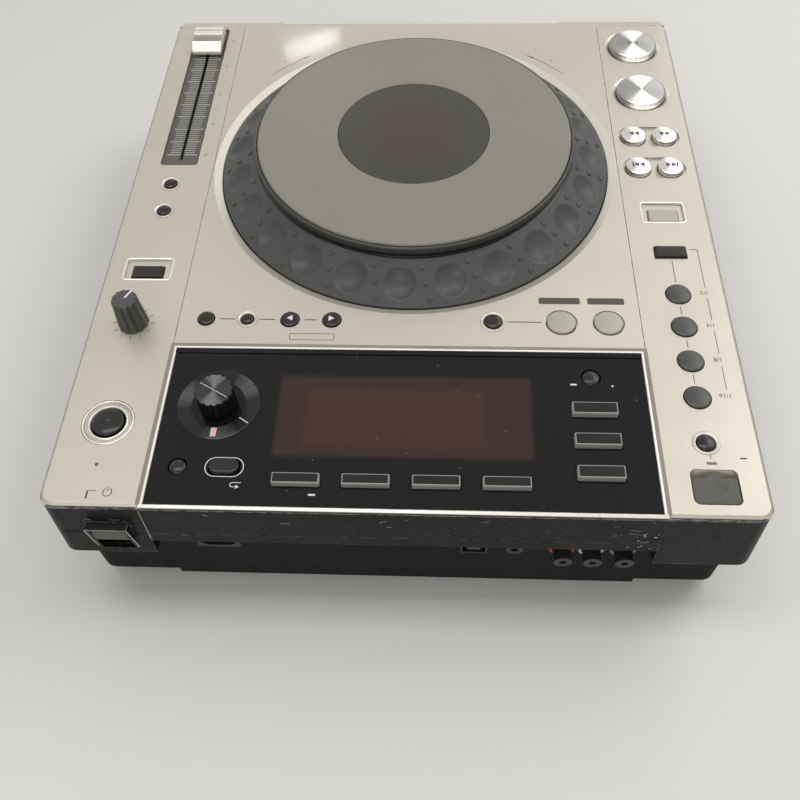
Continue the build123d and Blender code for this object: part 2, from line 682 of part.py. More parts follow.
def draw_plate(low_x, high_x, low_y, high_y):
    """Draws the part of the plan outline between two places across and two along."""
    with BuildLine() as outline:
        draw_plan(half_top, front, rear, corner)
    make_face(outline.edges())
    with Locations(((low_x + high_x) / 2, (low_y + high_y) / 2)):
        Rectangle(high_x - low_x, high_y - low_y, mode=Mode.INTERSECT)


def outer_edges(strip):
    """The upper edges of a side strip along its outer side and its rear corner."""

    def is_outer(edge):
        place = edge.center()
        beside_seam = abs(place.X) <= seam + seam_gap
        return not beside_seam and (abs(place.X) > half_top - corner or place.Y > rear - corner)

    return strip.faces().sort_by(Axis.Z)[-1].edges().filter_by(is_outer)


with BuildPart() as centre_panel:
    # the centre plate and the band that it sends across the whole front edge
    band_end = front + front_band
    with BuildSketch(Plane.XY.offset(seat)):
        draw_plate(-seam + seam_gap / 2, seam - seam_gap / 2, front, rear)
    extrude(amount=plate)
    chamfer(centre_panel.faces().sort_by(Axis.Z)[-1].edges().sort_by(Axis.Y)[-1], rear_rim_bevel)
    with BuildSketch(Plane.XY.offset(seat)):
        draw_plate(-half_top, half_top, front, band_end)
    extrude(amount=plate)
    with BuildSketch(Plane.YZ.offset(-half_top)):
        with BuildLine():
            Polyline(
                (front, top_height),
                (front, top_height - front_fall),
                (band_end - front_band_step, top_height),
                close=True,
            )
        make_face()
    extrude(amount=2 * half_top, mode=Mode.SUBTRACT)
    jog_opening = jog_foot_radius + jog_gap
    with Locations(at(0, jog_y, seat)):
        Cylinder(jog_opening, 2 * plate, mode=Mode.SUBTRACT)
    with BuildSketch(Plane.XY.offset(top_height)):
        with Locations((0, jog_y)):
            Circle(jog_opening + bezel_width)
    with BuildSketch(Plane.XY.offset(top_height - bezel_depth)):
        with Locations((0, jog_y)):
            Circle(jog_opening)
    loft(ruled=True, mode=Mode.SUBTRACT)
    with BuildSketch(Plane.XY.offset(seat)):
        with Locations((0, display_y)):
            Rectangle(display_width + 2 * display_gap, display_length + 2 * display_gap)
        draw_key_holes(centre_names)
    extrude(amount=plate, mode=Mode.SUBTRACT)
    for name in ("loop_in_button", "loop_out_button"):
        x, distance, radius = round_keys[name]
        with Locations(at(x, row(distance), top_height - recess_depth / 2)):
            Cylinder(radius + button_gap + loop_recess, recess_depth, mode=Mode.SUBTRACT)
save(centre_panel.part, "centre_panel")

with BuildPart() as left_strip:
    with BuildSketch(Plane.XY.offset(seat)):
        draw_plate(-half_top, -seam - seam_gap / 2, band_end + seam_gap, rear)
    extrude(amount=plate)
    chamfer(outer_edges(left_strip), edge_bevel)
    with BuildSketch(Plane.XY.offset(top_height - recess_depth)):
        for distance in (search_row, track_row):
            with Locations((left_x, row(distance))):
                SlotOverall(pair_pitch + 2 * pair_recess_radius, 2 * pair_recess_radius)
        with Locations((left_x, row(direction_recess_row))):
            RectangleRounded(direction_recess_width, direction_recess_length, recess_corner)
    extrude(amount=recess_depth, mode=Mode.SUBTRACT)
    for distance in (play_row, cue_row):
        with Locations(at(left_x, row(distance), top_height - play_rim_depth / 2)):
            Cone(
                play_radius + button_gap,
                play_radius + button_gap + play_rim,
                play_rim_depth,
                mode=Mode.SUBTRACT,
            )
    # the memory-stick bay: a well under the strip, with a finger ramp in front of the lid
    with BuildSketch(Plane.XY.offset(bay_floor)):
        with Locations((bay_x, bay_y)):
            Rectangle(bay_width + 2 * bay_wall, bay_rear - bay_front + 2 * bay_wall)
    extrude(amount=seat - bay_floor)
    # the ramp runs on into the well, where its own rounded rear corners are cut away
    well_middle = row(bay_front + finger_length + 2 * bay_corner)
    with BuildSketch(Plane.XY.offset(finger_shelf)):
        with Locations((bay_x, well_middle - finger_flat / 2 - bay_corner)):
            RectangleRounded(bay_width, finger_flat + 2 * bay_corner, finger_flat)
    with BuildSketch(Plane.XY.offset(top_height - finger_step)):
        with Locations((bay_x, well_middle - finger_length / 2 - bay_corner)):
            RectangleRounded(bay_width, finger_length + 2 * bay_corner, bay_corner)
    loft(ruled=True, mode=Mode.SUBTRACT)
    with BuildSketch(Plane.XY.offset(top_height - finger_step)):
        with Locations((bay_x, bay_y)):
            RectangleRounded(bay_width, bay_rear - bay_front, bay_corner)
    extrude(amount=finger_step, mode=Mode.SUBTRACT)
    with BuildSketch(Plane.XY.offset(bay_floor_top)):
        with Locations((bay_x, bay_y)):
            RectangleRounded(bay_width, bay_rear - bay_front, bay_corner)
        with Locations((bay_x, row(bay_front) + finger_length / 2)):
            Rectangle(bay_width, finger_length, mode=Mode.SUBTRACT)
    extrude(amount=plate + seat, mode=Mode.SUBTRACT)
    with BuildSketch(Plane.XY.offset(bay_floor)):
        with Locations((bay_x, bay_y + finger_length / 2)):
            Rectangle(stick_socket_width + 2 * running_fit, stick_socket_length + 2 * running_fit)
        draw_key_holes(left_names)
    extrude(amount=plate + seat, mode=Mode.SUBTRACT)
    # blind holes for the stub pins of the lid, where the rounded rear corners start
    hinge_y = row(bay_rear) - bay_corner
    hinge_z = top_height - lid_sink - hinge_depth
    with Locations(Plane(origin=(bay_x, hinge_y, hinge_z), z_dir=(1, 0, 0))):
        Cylinder(hinge_pin + running_fit, bay_width + 2 * hinge_reach + lid_gap, mode=Mode.SUBTRACT)
save(left_strip.part, "left_strip")

fader_y = row(fader_row)
slot_y = fader_y + fader_travel / 2
scale_y = row(scale_row)
slot_length = fader_travel + lever_length + 2 * fader_slot
speed_y = row(speed_row)
with BuildPart() as right_strip:
    with BuildSketch(Plane.XY.offset(seat)):
        draw_plate(seam + seam_gap / 2, half_top, band_end + seam_gap, rear)
    extrude(amount=plate)
    chamfer(outer_edges(right_strip), edge_bevel)
    with BuildSketch(Plane.XY.offset(top_height - scale_sink - scale_thickness)):
        with Locations((fader_x, scale_y)):
            RectangleRounded(
                scale_width + 2 * display_gap, scale_length + 2 * display_gap, scale_radius
            )
    extrude(amount=scale_sink + scale_thickness, mode=Mode.SUBTRACT)
    with BuildSketch(Plane.XY.offset(seat)):
        with Locations((fader_x, slot_y)):
            Rectangle(fader_slot + 2 * jog_gap, slot_length + 2 * jog_gap)
        with Locations((right_x, speed_y)):
            Circle(speed_shaft_radius + jog_gap)
        draw_key_holes(right_names)
    extrude(amount=plate, mode=Mode.SUBTRACT)
    with BuildSketch(Plane.XY.offset(top_height - recess_depth)):
        with Locations((right_x, row(jog_mode_recess_row))):
            RectangleRounded(jog_mode_recess_width, jog_mode_recess_length, recess_corner)
        with Locations((right_x, row(eject_row))):
            Circle(eject_cup_radius)
    extrude(amount=recess_depth, mode=Mode.SUBTRACT)
save(right_strip.part, "right_strip")

# =====================================================================
# Display glass over the screen and the keys round it
# =====================================================================
with BuildPart() as display_glass:
    with BuildSketch(Plane.XY.offset(top_height - display_sink - glass)):
        with Locations((0, display_y)):
            Rectangle(display_width, display_length)
        with Locations((selector_x, row(selector_row))):
            Circle(selector_shaft_radius + jog_gap, mode=Mode.SUBTRACT)
    extrude(amount=glass)
    with BuildSketch(Plane.XY.offset(seat - glass)):
        draw_key_holes(display_names)
    extrude(amount=plate + glass, mode=Mode.SUBTRACT)
save(display_glass.part, "display_glass")

# =====================================================================
# Keys: caps that slide in the plates, kept by a flange, each over its own switch
# =====================================================================
flange_top = seat - flange_gap
glass_foot = top_height - display_sink - glass
flange_foot = flange_top - flange


def round_cap(name, rise, bevel):
    """A round cap with a bevelled crown, a square flange under the plate and a square stem."""
    x, distance, radius = round_keys[name]
    y = row(distance)
    with BuildPart() as cap:
        with BuildSketch(at(x, y, flange_foot)):
            Circle(radius)
        extrude(amount=top_height + rise - flange_foot)
        chamfer(cap.faces().sort_by(Axis.Z)[-1].edges(), bevel)
        with BuildSketch(at(x, y, flange_foot)):
            Rectangle(2 * (radius + flange_lip), 2 * (radius + flange_lip))
        extrude(amount=flange)
        with BuildSketch(at(x, y, stem_foot)):
            Rectangle(stem, stem)
        extrude(amount=flange_foot - stem_foot)
    return cap.part


def square_cap(name, rise, bevel):
    """A bar-shaped cap with the same flange and stem."""
    x, distance, width, length = square_keys[name]
    y = row(distance)
    with BuildPart() as cap:
        with BuildSketch(at(x, y, flange_foot)):
            Rectangle(width, length)
        extrude(amount=top_height + rise - flange_foot)
        chamfer(cap.faces().sort_by(Axis.Z)[-1].edges(), bevel)
        with BuildSketch(at(x, y, flange_foot)):
            Rectangle(width + 2 * flange_lip, length + 2 * flange_lip)
        extrude(amount=flange)
        with BuildSketch(at(x, y, stem_foot)):
            Rectangle(stem, stem)
        extrude(amount=flange_foot - stem_foot)
    return cap.part


rises = {"play_button": play_rise, "cue_button": play_rise}
for name in ("search_back_button", "search_forward_button", "track_back_button", "track_forward_button"):
    rises[name] = pair_rise
for name in ("menu_button", "info_button", "tag_list_button", "browse_button"):
    rises[name] = key_rise - display_sink
for name in ("source_disc_button", "source_usb_button", "source_pc_button"):
    rises[name] = key_rise - display_sink
for name in ("direction_button", "jog_mode_button", "time_mode_button", "tag_track_button"):
    rises[name] = small_rise - recess_depth

for name in round_keys:
    save(round_cap(name, rises.get(name, small_rise), crown), name)
for name in square_keys:
    save(square_cap(name, rises.get(name, small_rise), crown), name)

# =====================================================================
# Lid of the memory-stick bay, turning on two stub pins near its rear edge
# =====================================================================
lid_front = row(bay_front) + finger_length
lid_width = bay_width - 2 * lid_gap
lid_rear = row(bay_rear) - lid_gap
lobe_radius_on_lid = (lobe_chord**2 / 4 + lobe_reach**2) / (2 * lobe_reach)
with BuildPart() as usb_lid:
    with BuildSketch(at(bay_x, (lid_front + lid_rear) / 2, top_height - lid_sink - lid_thickness)):
        Rectangle(lid_width, lid_rear - lid_front)
    extrude(amount=lid_thickness)
    with Locations(Plane(origin=(bay_x, hinge_y, hinge_z), z_dir=(1, 0, 0))):
        Cylinder(hinge_radius, lid_width)
    # round rear corners, cut through the lid and the barrel of its hinge
    lid_plan = 2 * (lid_rear - lid_front)
    with BuildSketch(at(bay_x, lid_rear - lid_plan / 2, hinge_z - 2 * hinge_depth)):
        RectangleRounded(lid_width, lid_plan, bay_corner - lid_gap)
    extrude(amount=4 * hinge_depth, mode=Mode.INTERSECT)
    # the bevel lets the rear edge swing past the wall of the bay
    chamfer(usb_lid.faces().sort_by(Axis.Z)[-1].edges(), lid_bevel)
    # the lobe on the free edge, and the finger scoop behind it
    with BuildSketch(at(bay_x, lid_front, top_height - lid_sink - lid_thickness)):
        with Locations((0, lobe_radius_on_lid - lobe_reach)):
            Circle(lobe_radius_on_lid)
        with Locations((0, lid_plan / 2)):
            Rectangle(lid_plan, lid_plan, mode=Mode.SUBTRACT)
    extrude(amount=lid_thickness)
    scoop_ball = (scoop_radius**2 + scoop_depth**2) / (2 * scoop_depth)
    scoop_foot = top_height - lid_sink - scoop_depth
    with Locations((bay_x, lid_front + scoop_radius - lobe_reach, scoop_foot + scoop_ball)):
        Sphere(scoop_ball, mode=Mode.SUBTRACT)
    with Locations(Plane(origin=(bay_x, hinge_y, hinge_z), z_dir=(1, 0, 0))):
        Cylinder(hinge_pin, lid_width + 2 * lid_gap + 2 * hinge_reach)
save(usb_lid.part, "usb_lid")

# =====================================================================
# Jog wheel: a hollow cone with hand dimples, turning on a fixed spindle tube
# =====================================================================
cone_run = jog_foot_radius - jog_shoulder_radius
cone_rise = jog_shoulder + jog_foot_drop
cone_slope = (cone_run**2 + cone_rise**2) ** 0.5
out_x, out_z = cone_rise / cone_slope, cone_run / cone_slope
cone_middle = (
    (jog_foot_radius + jog_shoulder_radius) / 2,
    top_height + (jog_shoulder - jog_foot_drop) / 2,
)


def on_cone(along, angle, out):
    """A plane that lies on the cone: that far up its slope from the middle, and out from it."""
    radius = cone_middle[0] - along * cone_run / cone_slope + out * out_x
    height = cone_middle[1] + along * cone_rise / cone_slope + out * out_z
    turn_x, turn_y = cos(radians(angle)), sin(radians(angle))
    return Plane(
        origin=(radius * turn_x, jog_y + radius * turn_y, height),
        z_dir=(out_x * turn_x, out_x * turn_y, out_z),
    )


bore_radius = spindle_radius + running_fit
skin = jog_wall * cone_slope / cone_run
with BuildPart() as jog_wheel:
    with BuildSketch(Plane(origin=(0, jog_y, top_height), x_dir=(1, 0, 0), z_dir=(0, -1, 0))):
        with BuildLine():
            Polyline(
                (jog_foot_radius, -jog_skirt),
                (jog_foot_radius, -jog_foot_drop),
                (jog_shoulder_radius, jog_shoulder),
                (jog_shoulder_radius, jog_lip),
                (jog_shoulder_radius - jog_lip_wall, jog_lip),
                (jog_shoulder_radius - jog_lip_wall, jog_deck),
                (bore_radius, jog_deck),
                (bore_radius, -jog_base_sheet - collar),
                (bore_radius + spindle_wall, -jog_base_sheet - collar),
                (bore_radius + spindle_wall, jog_deck - jog_wall),
                (jog_shoulder_radius - 2 * jog_wall, jog_deck - jog_wall),
                (jog_shoulder_radius - 2 * jog_wall, jog_shoulder - skin + jog_wall),
                (jog_foot_radius - jog_wall, -jog_skirt + jog_wall),
                (jog_foot_radius - jog_wall, -jog_skirt),
                close=True,
            )
        make_face()
    revolve(axis=Axis((0, jog_y, 0), (0, 0, 1)))
    ball = (dimple_width**2 / 4 + dimple_depth**2) / (2 * dimple_depth)
    turns = [dimple_phase + number * 360 / dimples for number in range(dimples)]
    with Locations(*(on_cone(0, turn, ball - dimple_depth) for turn in turns)):
        Sphere(ball, mode=Mode.SUBTRACT)
save(jog_wheel.part, "jog_wheel")

with BuildPart() as jog_plate:
    with BuildSketch(at(0, jog_y, top_height + jog_plate_top - jog_plate_thickness)):
        Circle(jog_plate_radius)
        Circle(window_radius - window_sill, mode=Mode.SUBTRACT)
    extrude(amount=jog_plate_thickness)
    chamfer(
        jog_plate.faces().sort_by(Axis.Z)[-1].outer_wire().edges(), jog_rim_bevel
    )
    with Locations(at(0, jog_y, top_height + jog_plate_top - window_thickness / 2)):
        Cylinder(window_radius + running_fit, window_thickness, mode=Mode.SUBTRACT)
save(jog_plate.part, "jog_plate")

with BuildPart() as jog_window:
    with BuildSketch(at(0, jog_y, top_height + jog_plate_top - window_thickness)):
        Circle(window_radius)
    extrude(amount=window_thickness - running_fit)
save(jog_window.part, "jog_window")

with BuildPart() as jog_base:
    with BuildSketch(at(0, jog_y, base_top - jog_base_sheet)):
        Circle(jog_opening + jog_base_wall)
        Circle(spindle_radius - spindle_wall, mode=Mode.SUBTRACT)
    extrude(amount=jog_base_sheet)
    with BuildSketch(at(0, jog_y, base_top)):
        Circle(jog_opening + jog_base_wall)
        Circle(jog_opening, mode=Mode.SUBTRACT)
    extrude(amount=seat - base_top)
    with BuildSketch(at(0, jog_y, base_top)):
        Circle(spindle_radius)
        Circle(spindle_radius - spindle_wall, mode=Mode.SUBTRACT)
    extrude(amount=top_height + display_seat - base_top)
    with BuildSketch(at(0, jog_y, base_top)):
        Circle(spindle_radius + spindle_wall)
        Circle(spindle_radius - spindle_wall / 2, mode=Mode.SUBTRACT)
    extrude(amount=collar - flange_gap)
save(jog_base.part, "jog_base")

with BuildPart() as jog_display:
    with BuildSketch(at(0, jog_y, top_height + display_seat)):
        Circle(spindle_radius - jog_gap)
    extrude(amount=jog_display_thickness)
save(jog_display.part, "jog_display")

# =====================================================================
# Knobs
# =====================================================================
selector_y = row(selector_row)
with BuildPart() as selector_shaft:
    with BuildSketch(at(selector_x, selector_y, board_top + switch)):
        Circle(selector_shaft_radius)
    extrude(amount=selector_pivot + selector_height - knob_wall - board_top - switch)
save(selector_shaft.part, "selector_shaft")

with BuildPart() as selector_knob:
    with BuildSketch(at(selector_x, selector_y, selector_pivot)):
        Circle(selector_radius)
        with PolarLocations(selector_radius + lobe_radius / 2, selector_lobes):
            Circle(lobe_radius, mode=Mode.SUBTRACT)
    extrude(amount=selector_height)
    with BuildSketch(at(selector_x, selector_y, selector_pivot)):
        Circle(selector_shaft_radius + running_fit)
    extrude(amount=selector_height - knob_wall + running_fit, mode=Mode.SUBTRACT)
save(selector_knob.part, "selector_knob")

knob_foot = top_height + knob_clear
with BuildPart() as speed_knob:
    with BuildSketch(at(right_x, speed_y, knob_foot)):
        Circle(speed_radius)
        with PolarLocations(speed_radius, speed_flutes):
            RegularPolygon(flute_depth, 4, mode=Mode.SUBTRACT)
    extrude(amount=speed_height, taper=speed_draft)
    with BuildSketch(at(right_x, speed_y, knob_foot)):
        Circle(speed_shaft_radius + running_fit)
    extrude(amount=speed_height - knob_wall, mode=Mode.SUBTRACT)
save(speed_knob.part, "speed_knob")

# =====================================================================
# Tempo fader: scale plate, channel with two rods, and the cap with its carriage
# =====================================================================
scale_foot = top_height - scale_sink - scale_thickness
with BuildPart() as fader_plate:
    with BuildSketch(Plane.XY.offset(scale_foot)):
        with Locations((fader_x, scale_y)):
            RectangleRounded(scale_width, scale_length, scale_radius)
        with Locations((fader_x, slot_y)):
            SlotOverall(slot_length, fader_slot, rotation=90, mode=Mode.SUBTRACT)
    extrude(amount=scale_thickness)
save(fader_plate.part, "fader_plate")

channel_length = fader_travel + carriage_length + 2 * fader_slot + 2 * fader_channel_wall
with BuildPart() as fader_unit:
    with BuildSketch(Plane.XY.offset(fader_floor)):
        with Locations((fader_x, slot_y)):
            Rectangle(fader_channel_width, channel_length)
    extrude(amount=seat - fader_floor)
    with BuildSketch(Plane.XY.offset(fader_floor + fader_channel_wall)):
        with Locations((fader_x, slot_y)):
            Rectangle(
                fader_channel_width - 2 * fader_channel_wall, channel_length - 2 * fader_channel_wall
            )
    extrude(amount=seat, mode=Mode.SUBTRACT)
    with BuildSketch(Plane.XZ.offset(-slot_y - channel_length / 2)):
        with Locations((fader_x - rod_pitch / 2, rod_height), (fader_x + rod_pitch / 2, rod_height)):
            Circle(rod_radius)
    extrude(amount=channel_length)
save(fader_unit.part, "fader_unit")

cap_foot = top_height + cap_clear
with BuildPart() as tempo_fader:
    # the cap: a long rear slope, a finger hollow and a low front lip
    with BuildSketch(Plane.YZ.offset(fader_x - cap_width / 2)):
        with BuildLine():
            cap_front, cap_rear = fader_y - cap_length / 2, fader_y + cap_length / 2
            cap_top = cap_foot + cap_height
            hollow_front = cap_front + cap_front_slope + cap_front_crest
            hollow_rear = hollow_front + cap_hollow
            Polyline(
                (cap_front, cap_foot),
                (cap_front, cap_foot + cap_lip),
                (cap_front + cap_front_slope, cap_top),
                (hollow_front, cap_top),
            )
            ThreePointArc(
                (hollow_front, cap_top),
                ((hollow_front + hollow_rear) / 2, cap_top - cap_hollow_depth),
                (hollow_rear, cap_top),
            )
            Polyline(
                (hollow_rear, cap_top),
                (hollow_rear + cap_rear_crest, cap_top),
                (cap_rear, cap_foot + cap_skirt),
                (cap_rear, cap_foot),
                (cap_front, cap_foot),
            )
        make_face()
    extrude(amount=cap_width)
    with BuildSketch(at(fader_x, fader_y, rod_height)):
        Rectangle(lever_width, lever_length)
    extrude(amount=cap_foot - rod_height)
    with BuildSketch(at(fader_x, fader_y, rod_height - carriage_height / 2)):
        Rectangle(carriage_width, carriage_length)
    extrude(amount=carriage_height)
    with BuildSketch(Plane.XZ.offset(-fader_y - carriage_length)):
        with Locations((fader_x - rod_pitch / 2, rod_height), (fader_x + rod_pitch / 2, rod_height)):
            Circle(rod_radius + rod_fit)
    extrude(amount=2 * carriage_length, mode=Mode.SUBTRACT)
save(tempo_fader.part, "tempo_fader")

# =====================================================================
# Power switch button, pushed in from the rear inside its guard
# =====================================================================
button_width = mouth_width - 2 * button_gap
button_top = guard_top - guard_wall - button_gap
with BuildPart() as power_button:
    with BuildSketch(Plane.XZ.offset(-guard_edge + power_set_back)):
        with Locations((power_x, button_top - power_height / 2)):
            Rectangle(button_width, power_height)
    extrude(amount=guard_reach + wall + power_reach)
    with BuildSketch(Plane.XZ.offset(-rear + wall)):
        with Locations((power_x, button_top - power_height / 2)):
            Rectangle(stem, stem)
    extrude(amount=power_stem)
save(power_button.part, "power_button")

# =====================================================================
# Boards: side and display boards under the ribs, with a switch under every stem
# =====================================================================
side_board_edge = half_top - side_board_inset
side_board_inner = seam + side_board_gap
side_board_rear = row(usb_stop_row + board_margin)
display_board_front, display_board_rear = row(loop_row - switch / 2), row(menu_row + switch / 2)
with BuildPart() as control_board:
    with BuildSketch(Plane.XY.offset(board_top - board)):
        for side, first_row in ((-1, play_row - board_margin), (1, master_tempo_row - board_margin)):
            board_front = row(first_row)
            with Locations(
                (side * (side_board_edge + side_board_inner) / 2, (board_front + side_board_rear) / 2)
            ):
                Rectangle(side_board_edge - side_board_inner, side_board_rear - board_front)
        with Locations((0, (display_board_front + display_board_rear) / 2)):
            Rectangle(2 * (seam - side_board_gap), display_board_rear - display_board_front)
        with Locations(*boss_points):
            Circle(boss_radius + jog_gap, mode=Mode.SUBTRACT)
    extrude(amount=board)
    with BuildSketch(Plane.XY.offset(board_top)):
        for x, distance, _ in round_keys.values():
            with Locations((x, row(distance))):
                Rectangle(switch, switch)
        for x, distance, _, _ in square_keys.values():
            with Locations((x, row(distance))):
                Rectangle(switch, min(switch, menu_length))
    extrude(amount=switch_top - board_top)
    # encoder and potentiometer
    with BuildSketch(Plane.XY.offset(board_top)):
        with Locations((selector_x, selector_y), (right_x, speed_y)):
            Rectangle(2 * switch, 2 * switch)
        with Locations((selector_x, selector_y)):
            Circle(selector_shaft_radius + running_fit, mode=Mode.SUBTRACT)
    extrude(amount=encoder_height)
    with BuildSketch(Plane.XY.offset(board_top)):
        with Locations((right_x, speed_y)):
            Circle(speed_shaft_radius)
    extrude(amount=knob_foot + speed_height - knob_wall - speed_bearing - board_top)
    # the dot-matrix screen
    with BuildSketch(Plane.XY.offset(board_top)):
        with Locations((0, row(screen_row))):
            Rectangle(screen_width, screen_length)
    extrude(amount=glass_foot - screen_gap - board_top)
save(control_board.part, "control_board")

# =====================================================================
# Disc drive behind the slot, and the main board with its power supply
# =====================================================================
drive_front = chassis_front + sheet
with BuildPart() as drive_unit:
    with BuildSketch(at(0, drive_front + drive_depth / 2, drive_floor)):
        Rectangle(drive_width, drive_depth)
    extrude(amount=drive_roof - drive_floor)
    chamfer(drive_unit.faces().sort_by(Axis.Z)[-1].edges(), drive_bevel)
    with BuildSketch(Plane.XZ.offset(-drive_front)):
        with Locations((0, slot_centre)):
            SlotOverall(slot_width, slot_height)
    extrude(amount=-slot_depth, mode=Mode.SUBTRACT)
    with BuildSketch(at(0, drive_front + drive_depth / 2, drive_floor)):
        Rectangle(drive_width - 2 * drive_wall, drive_depth - 2 * drive_wall)
    extrude(amount=slot_centre - slot_height / 2 - drive_wall - drive_floor, mode=Mode.SUBTRACT)
    with BuildSketch(at(0, drive_front + drive_depth / 2, floor_top)):
        with GridLocations(drive_width - leg, drive_depth - leg, 2, 2):
            Rectangle(leg, leg)
    extrude(amount=drive_floor + drive_wall - floor_top)
save(drive_unit.part, "drive_unit")

main_board_top = main_board_foot + board
with BuildPart() as main_board:
    # the board on its posts, behind the drive
    with BuildSketch(at(main_board_x, main_board_y, main_board_foot)):
        Rectangle(main_board_width, main_board_length)
        with Locations(*((x - main_board_x, y - main_board_y) for x, y in boss_points)):
            Circle(boss_radius + jog_gap, mode=Mode.SUBTRACT)
    extrude(amount=board)
    with BuildSketch(at(main_board_x, main_board_y, floor_top)):
        with GridLocations(post_across, post_along, 2, 2):
            Circle(post_radius)
    extrude(amount=main_board_foot - floor_top)
    with BuildSketch(at(main_board_x, main_board_y, main_board_top)):
        Rectangle(chip_size, chip_size)
        with Locations((driver_x, driver_y)):
            Rectangle(driver_width, driver_length)
        with Locations((jack_x, jack_y)):
            Rectangle(jack_width, jack_length)
    extrude(amount=chip_height)
    # the power supply, screwed to the floor at the right
    with BuildSketch(at(supply_x, main_board_y, floor_top)):
        Rectangle(supply_width, supply_length)
    extrude(amount=supply_base)
    with BuildSketch(at(supply_x, main_board_y, floor_top + supply_base)):
        with Locations((transformer_x, transformer_y)):
            Rectangle(transformer_width, transformer_length)
        with Locations((capacitor_x, capacitor_y)):
            Circle(capacitor_radius)
    extrude(amount=supply_height)
save(main_board.part, "main_board")
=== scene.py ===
"""Looks of a tabletop player for mixing discs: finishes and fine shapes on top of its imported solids.

Lengths in the classes are millimetres; meshes are written in metres, in the frame of the solids.
+Z is up from the table, +Y points to the rear sockets and +X to the right hand of the player.
"""

import logging
import math
import random
from dataclasses import dataclass, field
from enum import Enum
from typing import Callable, Sequence

import bmesh
import bpy
from mathutils import Matrix, Vector


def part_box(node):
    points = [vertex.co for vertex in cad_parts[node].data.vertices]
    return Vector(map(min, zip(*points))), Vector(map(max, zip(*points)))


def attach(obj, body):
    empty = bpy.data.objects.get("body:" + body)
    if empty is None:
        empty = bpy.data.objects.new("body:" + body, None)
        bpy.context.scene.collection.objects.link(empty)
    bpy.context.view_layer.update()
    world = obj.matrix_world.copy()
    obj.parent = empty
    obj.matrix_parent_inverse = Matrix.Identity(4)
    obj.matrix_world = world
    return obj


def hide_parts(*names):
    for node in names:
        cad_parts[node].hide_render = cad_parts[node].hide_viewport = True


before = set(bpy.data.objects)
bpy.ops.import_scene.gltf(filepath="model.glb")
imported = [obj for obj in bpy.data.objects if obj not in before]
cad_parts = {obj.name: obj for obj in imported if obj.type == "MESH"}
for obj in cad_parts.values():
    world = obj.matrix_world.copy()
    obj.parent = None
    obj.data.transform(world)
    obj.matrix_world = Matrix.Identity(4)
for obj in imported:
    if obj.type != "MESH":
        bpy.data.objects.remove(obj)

MM = 0.001
FLANGE_LIP = 0.9  # a packed key's flange reaches this far beyond its cap
CAP_FOOT = 7.0  # a key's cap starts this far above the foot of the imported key
INK = 0.04  # thickness of a printed mark
SUNK = 0.02  # a mark on a key starts this far below its top
log = logging.getLogger("player")

Point = tuple[float, float]
Place = tuple[float, float, float]
Face = tuple[int, ...]
Outline = Callable[[float], list[Point]]
Socket = bpy.types.NodeSocket


def linear(code: str) -> tuple[float, ...]:
    """Turns an sRGB hex colour such as "#C8C2B4" into linear RGBA."""
    channels = (int(code[place : place + 2], 16) / 255 for place in (1, 3, 5))
    return (*(c / 12.92 if c <= 0.04045 else ((c + 0.055) / 1.055) ** 2.4 for c in channels), 1.0)


def per_mm(size: float) -> float:
    """Texture scale at which one feature measures that many millimetres."""
    return 1.0 / (size * MM)


@dataclass
class Graph:
    """The nodes of one material or sky in the making."""

    tree: bpy.types.NodeTree
    place: Socket | None = None  # coordinates that the patterns follow

    def add(self, kind: str, inputs: dict | Sequence = (), out: int | str = 0, **settings) -> Socket | None:
        """Adds a node with its settings, values and links.

        Args:
            kind: the node's type, without "ShaderNode".
            inputs: value or linked output of each input, in order, or by name or place.
            out: the output that is wanted.
            settings: properties of the node itself.

        Returns:
            That output, or None where the node has none.
        """
        node = self.tree.nodes.new("ShaderNode" + kind)
        for name, value in settings.items():
            setattr(node, name, value)
        for socket, value in inputs.items() if isinstance(inputs, dict) else enumerate(inputs):
            if isinstance(value, Socket):
                self.tree.links.new(value, node.inputs[socket])
            else:
                node.inputs[socket].default_value = value
        return node.outputs[out] if node.outputs else None

    def lay(self, shader: bpy.types.Node, *coats: tuple[Socket, str]) -> None:
        """Lays colours over the shader's own, each where its mask says."""
        base = shader.inputs["Base Color"].links[0].from_socket
        for mask, code in coats:
            base = self.add("Mix", {0: mask, 6: base, 7: linear(code)}, 2, data_type="RGBA")
        self.tree.links.new(base, shader.inputs["Base Color"])


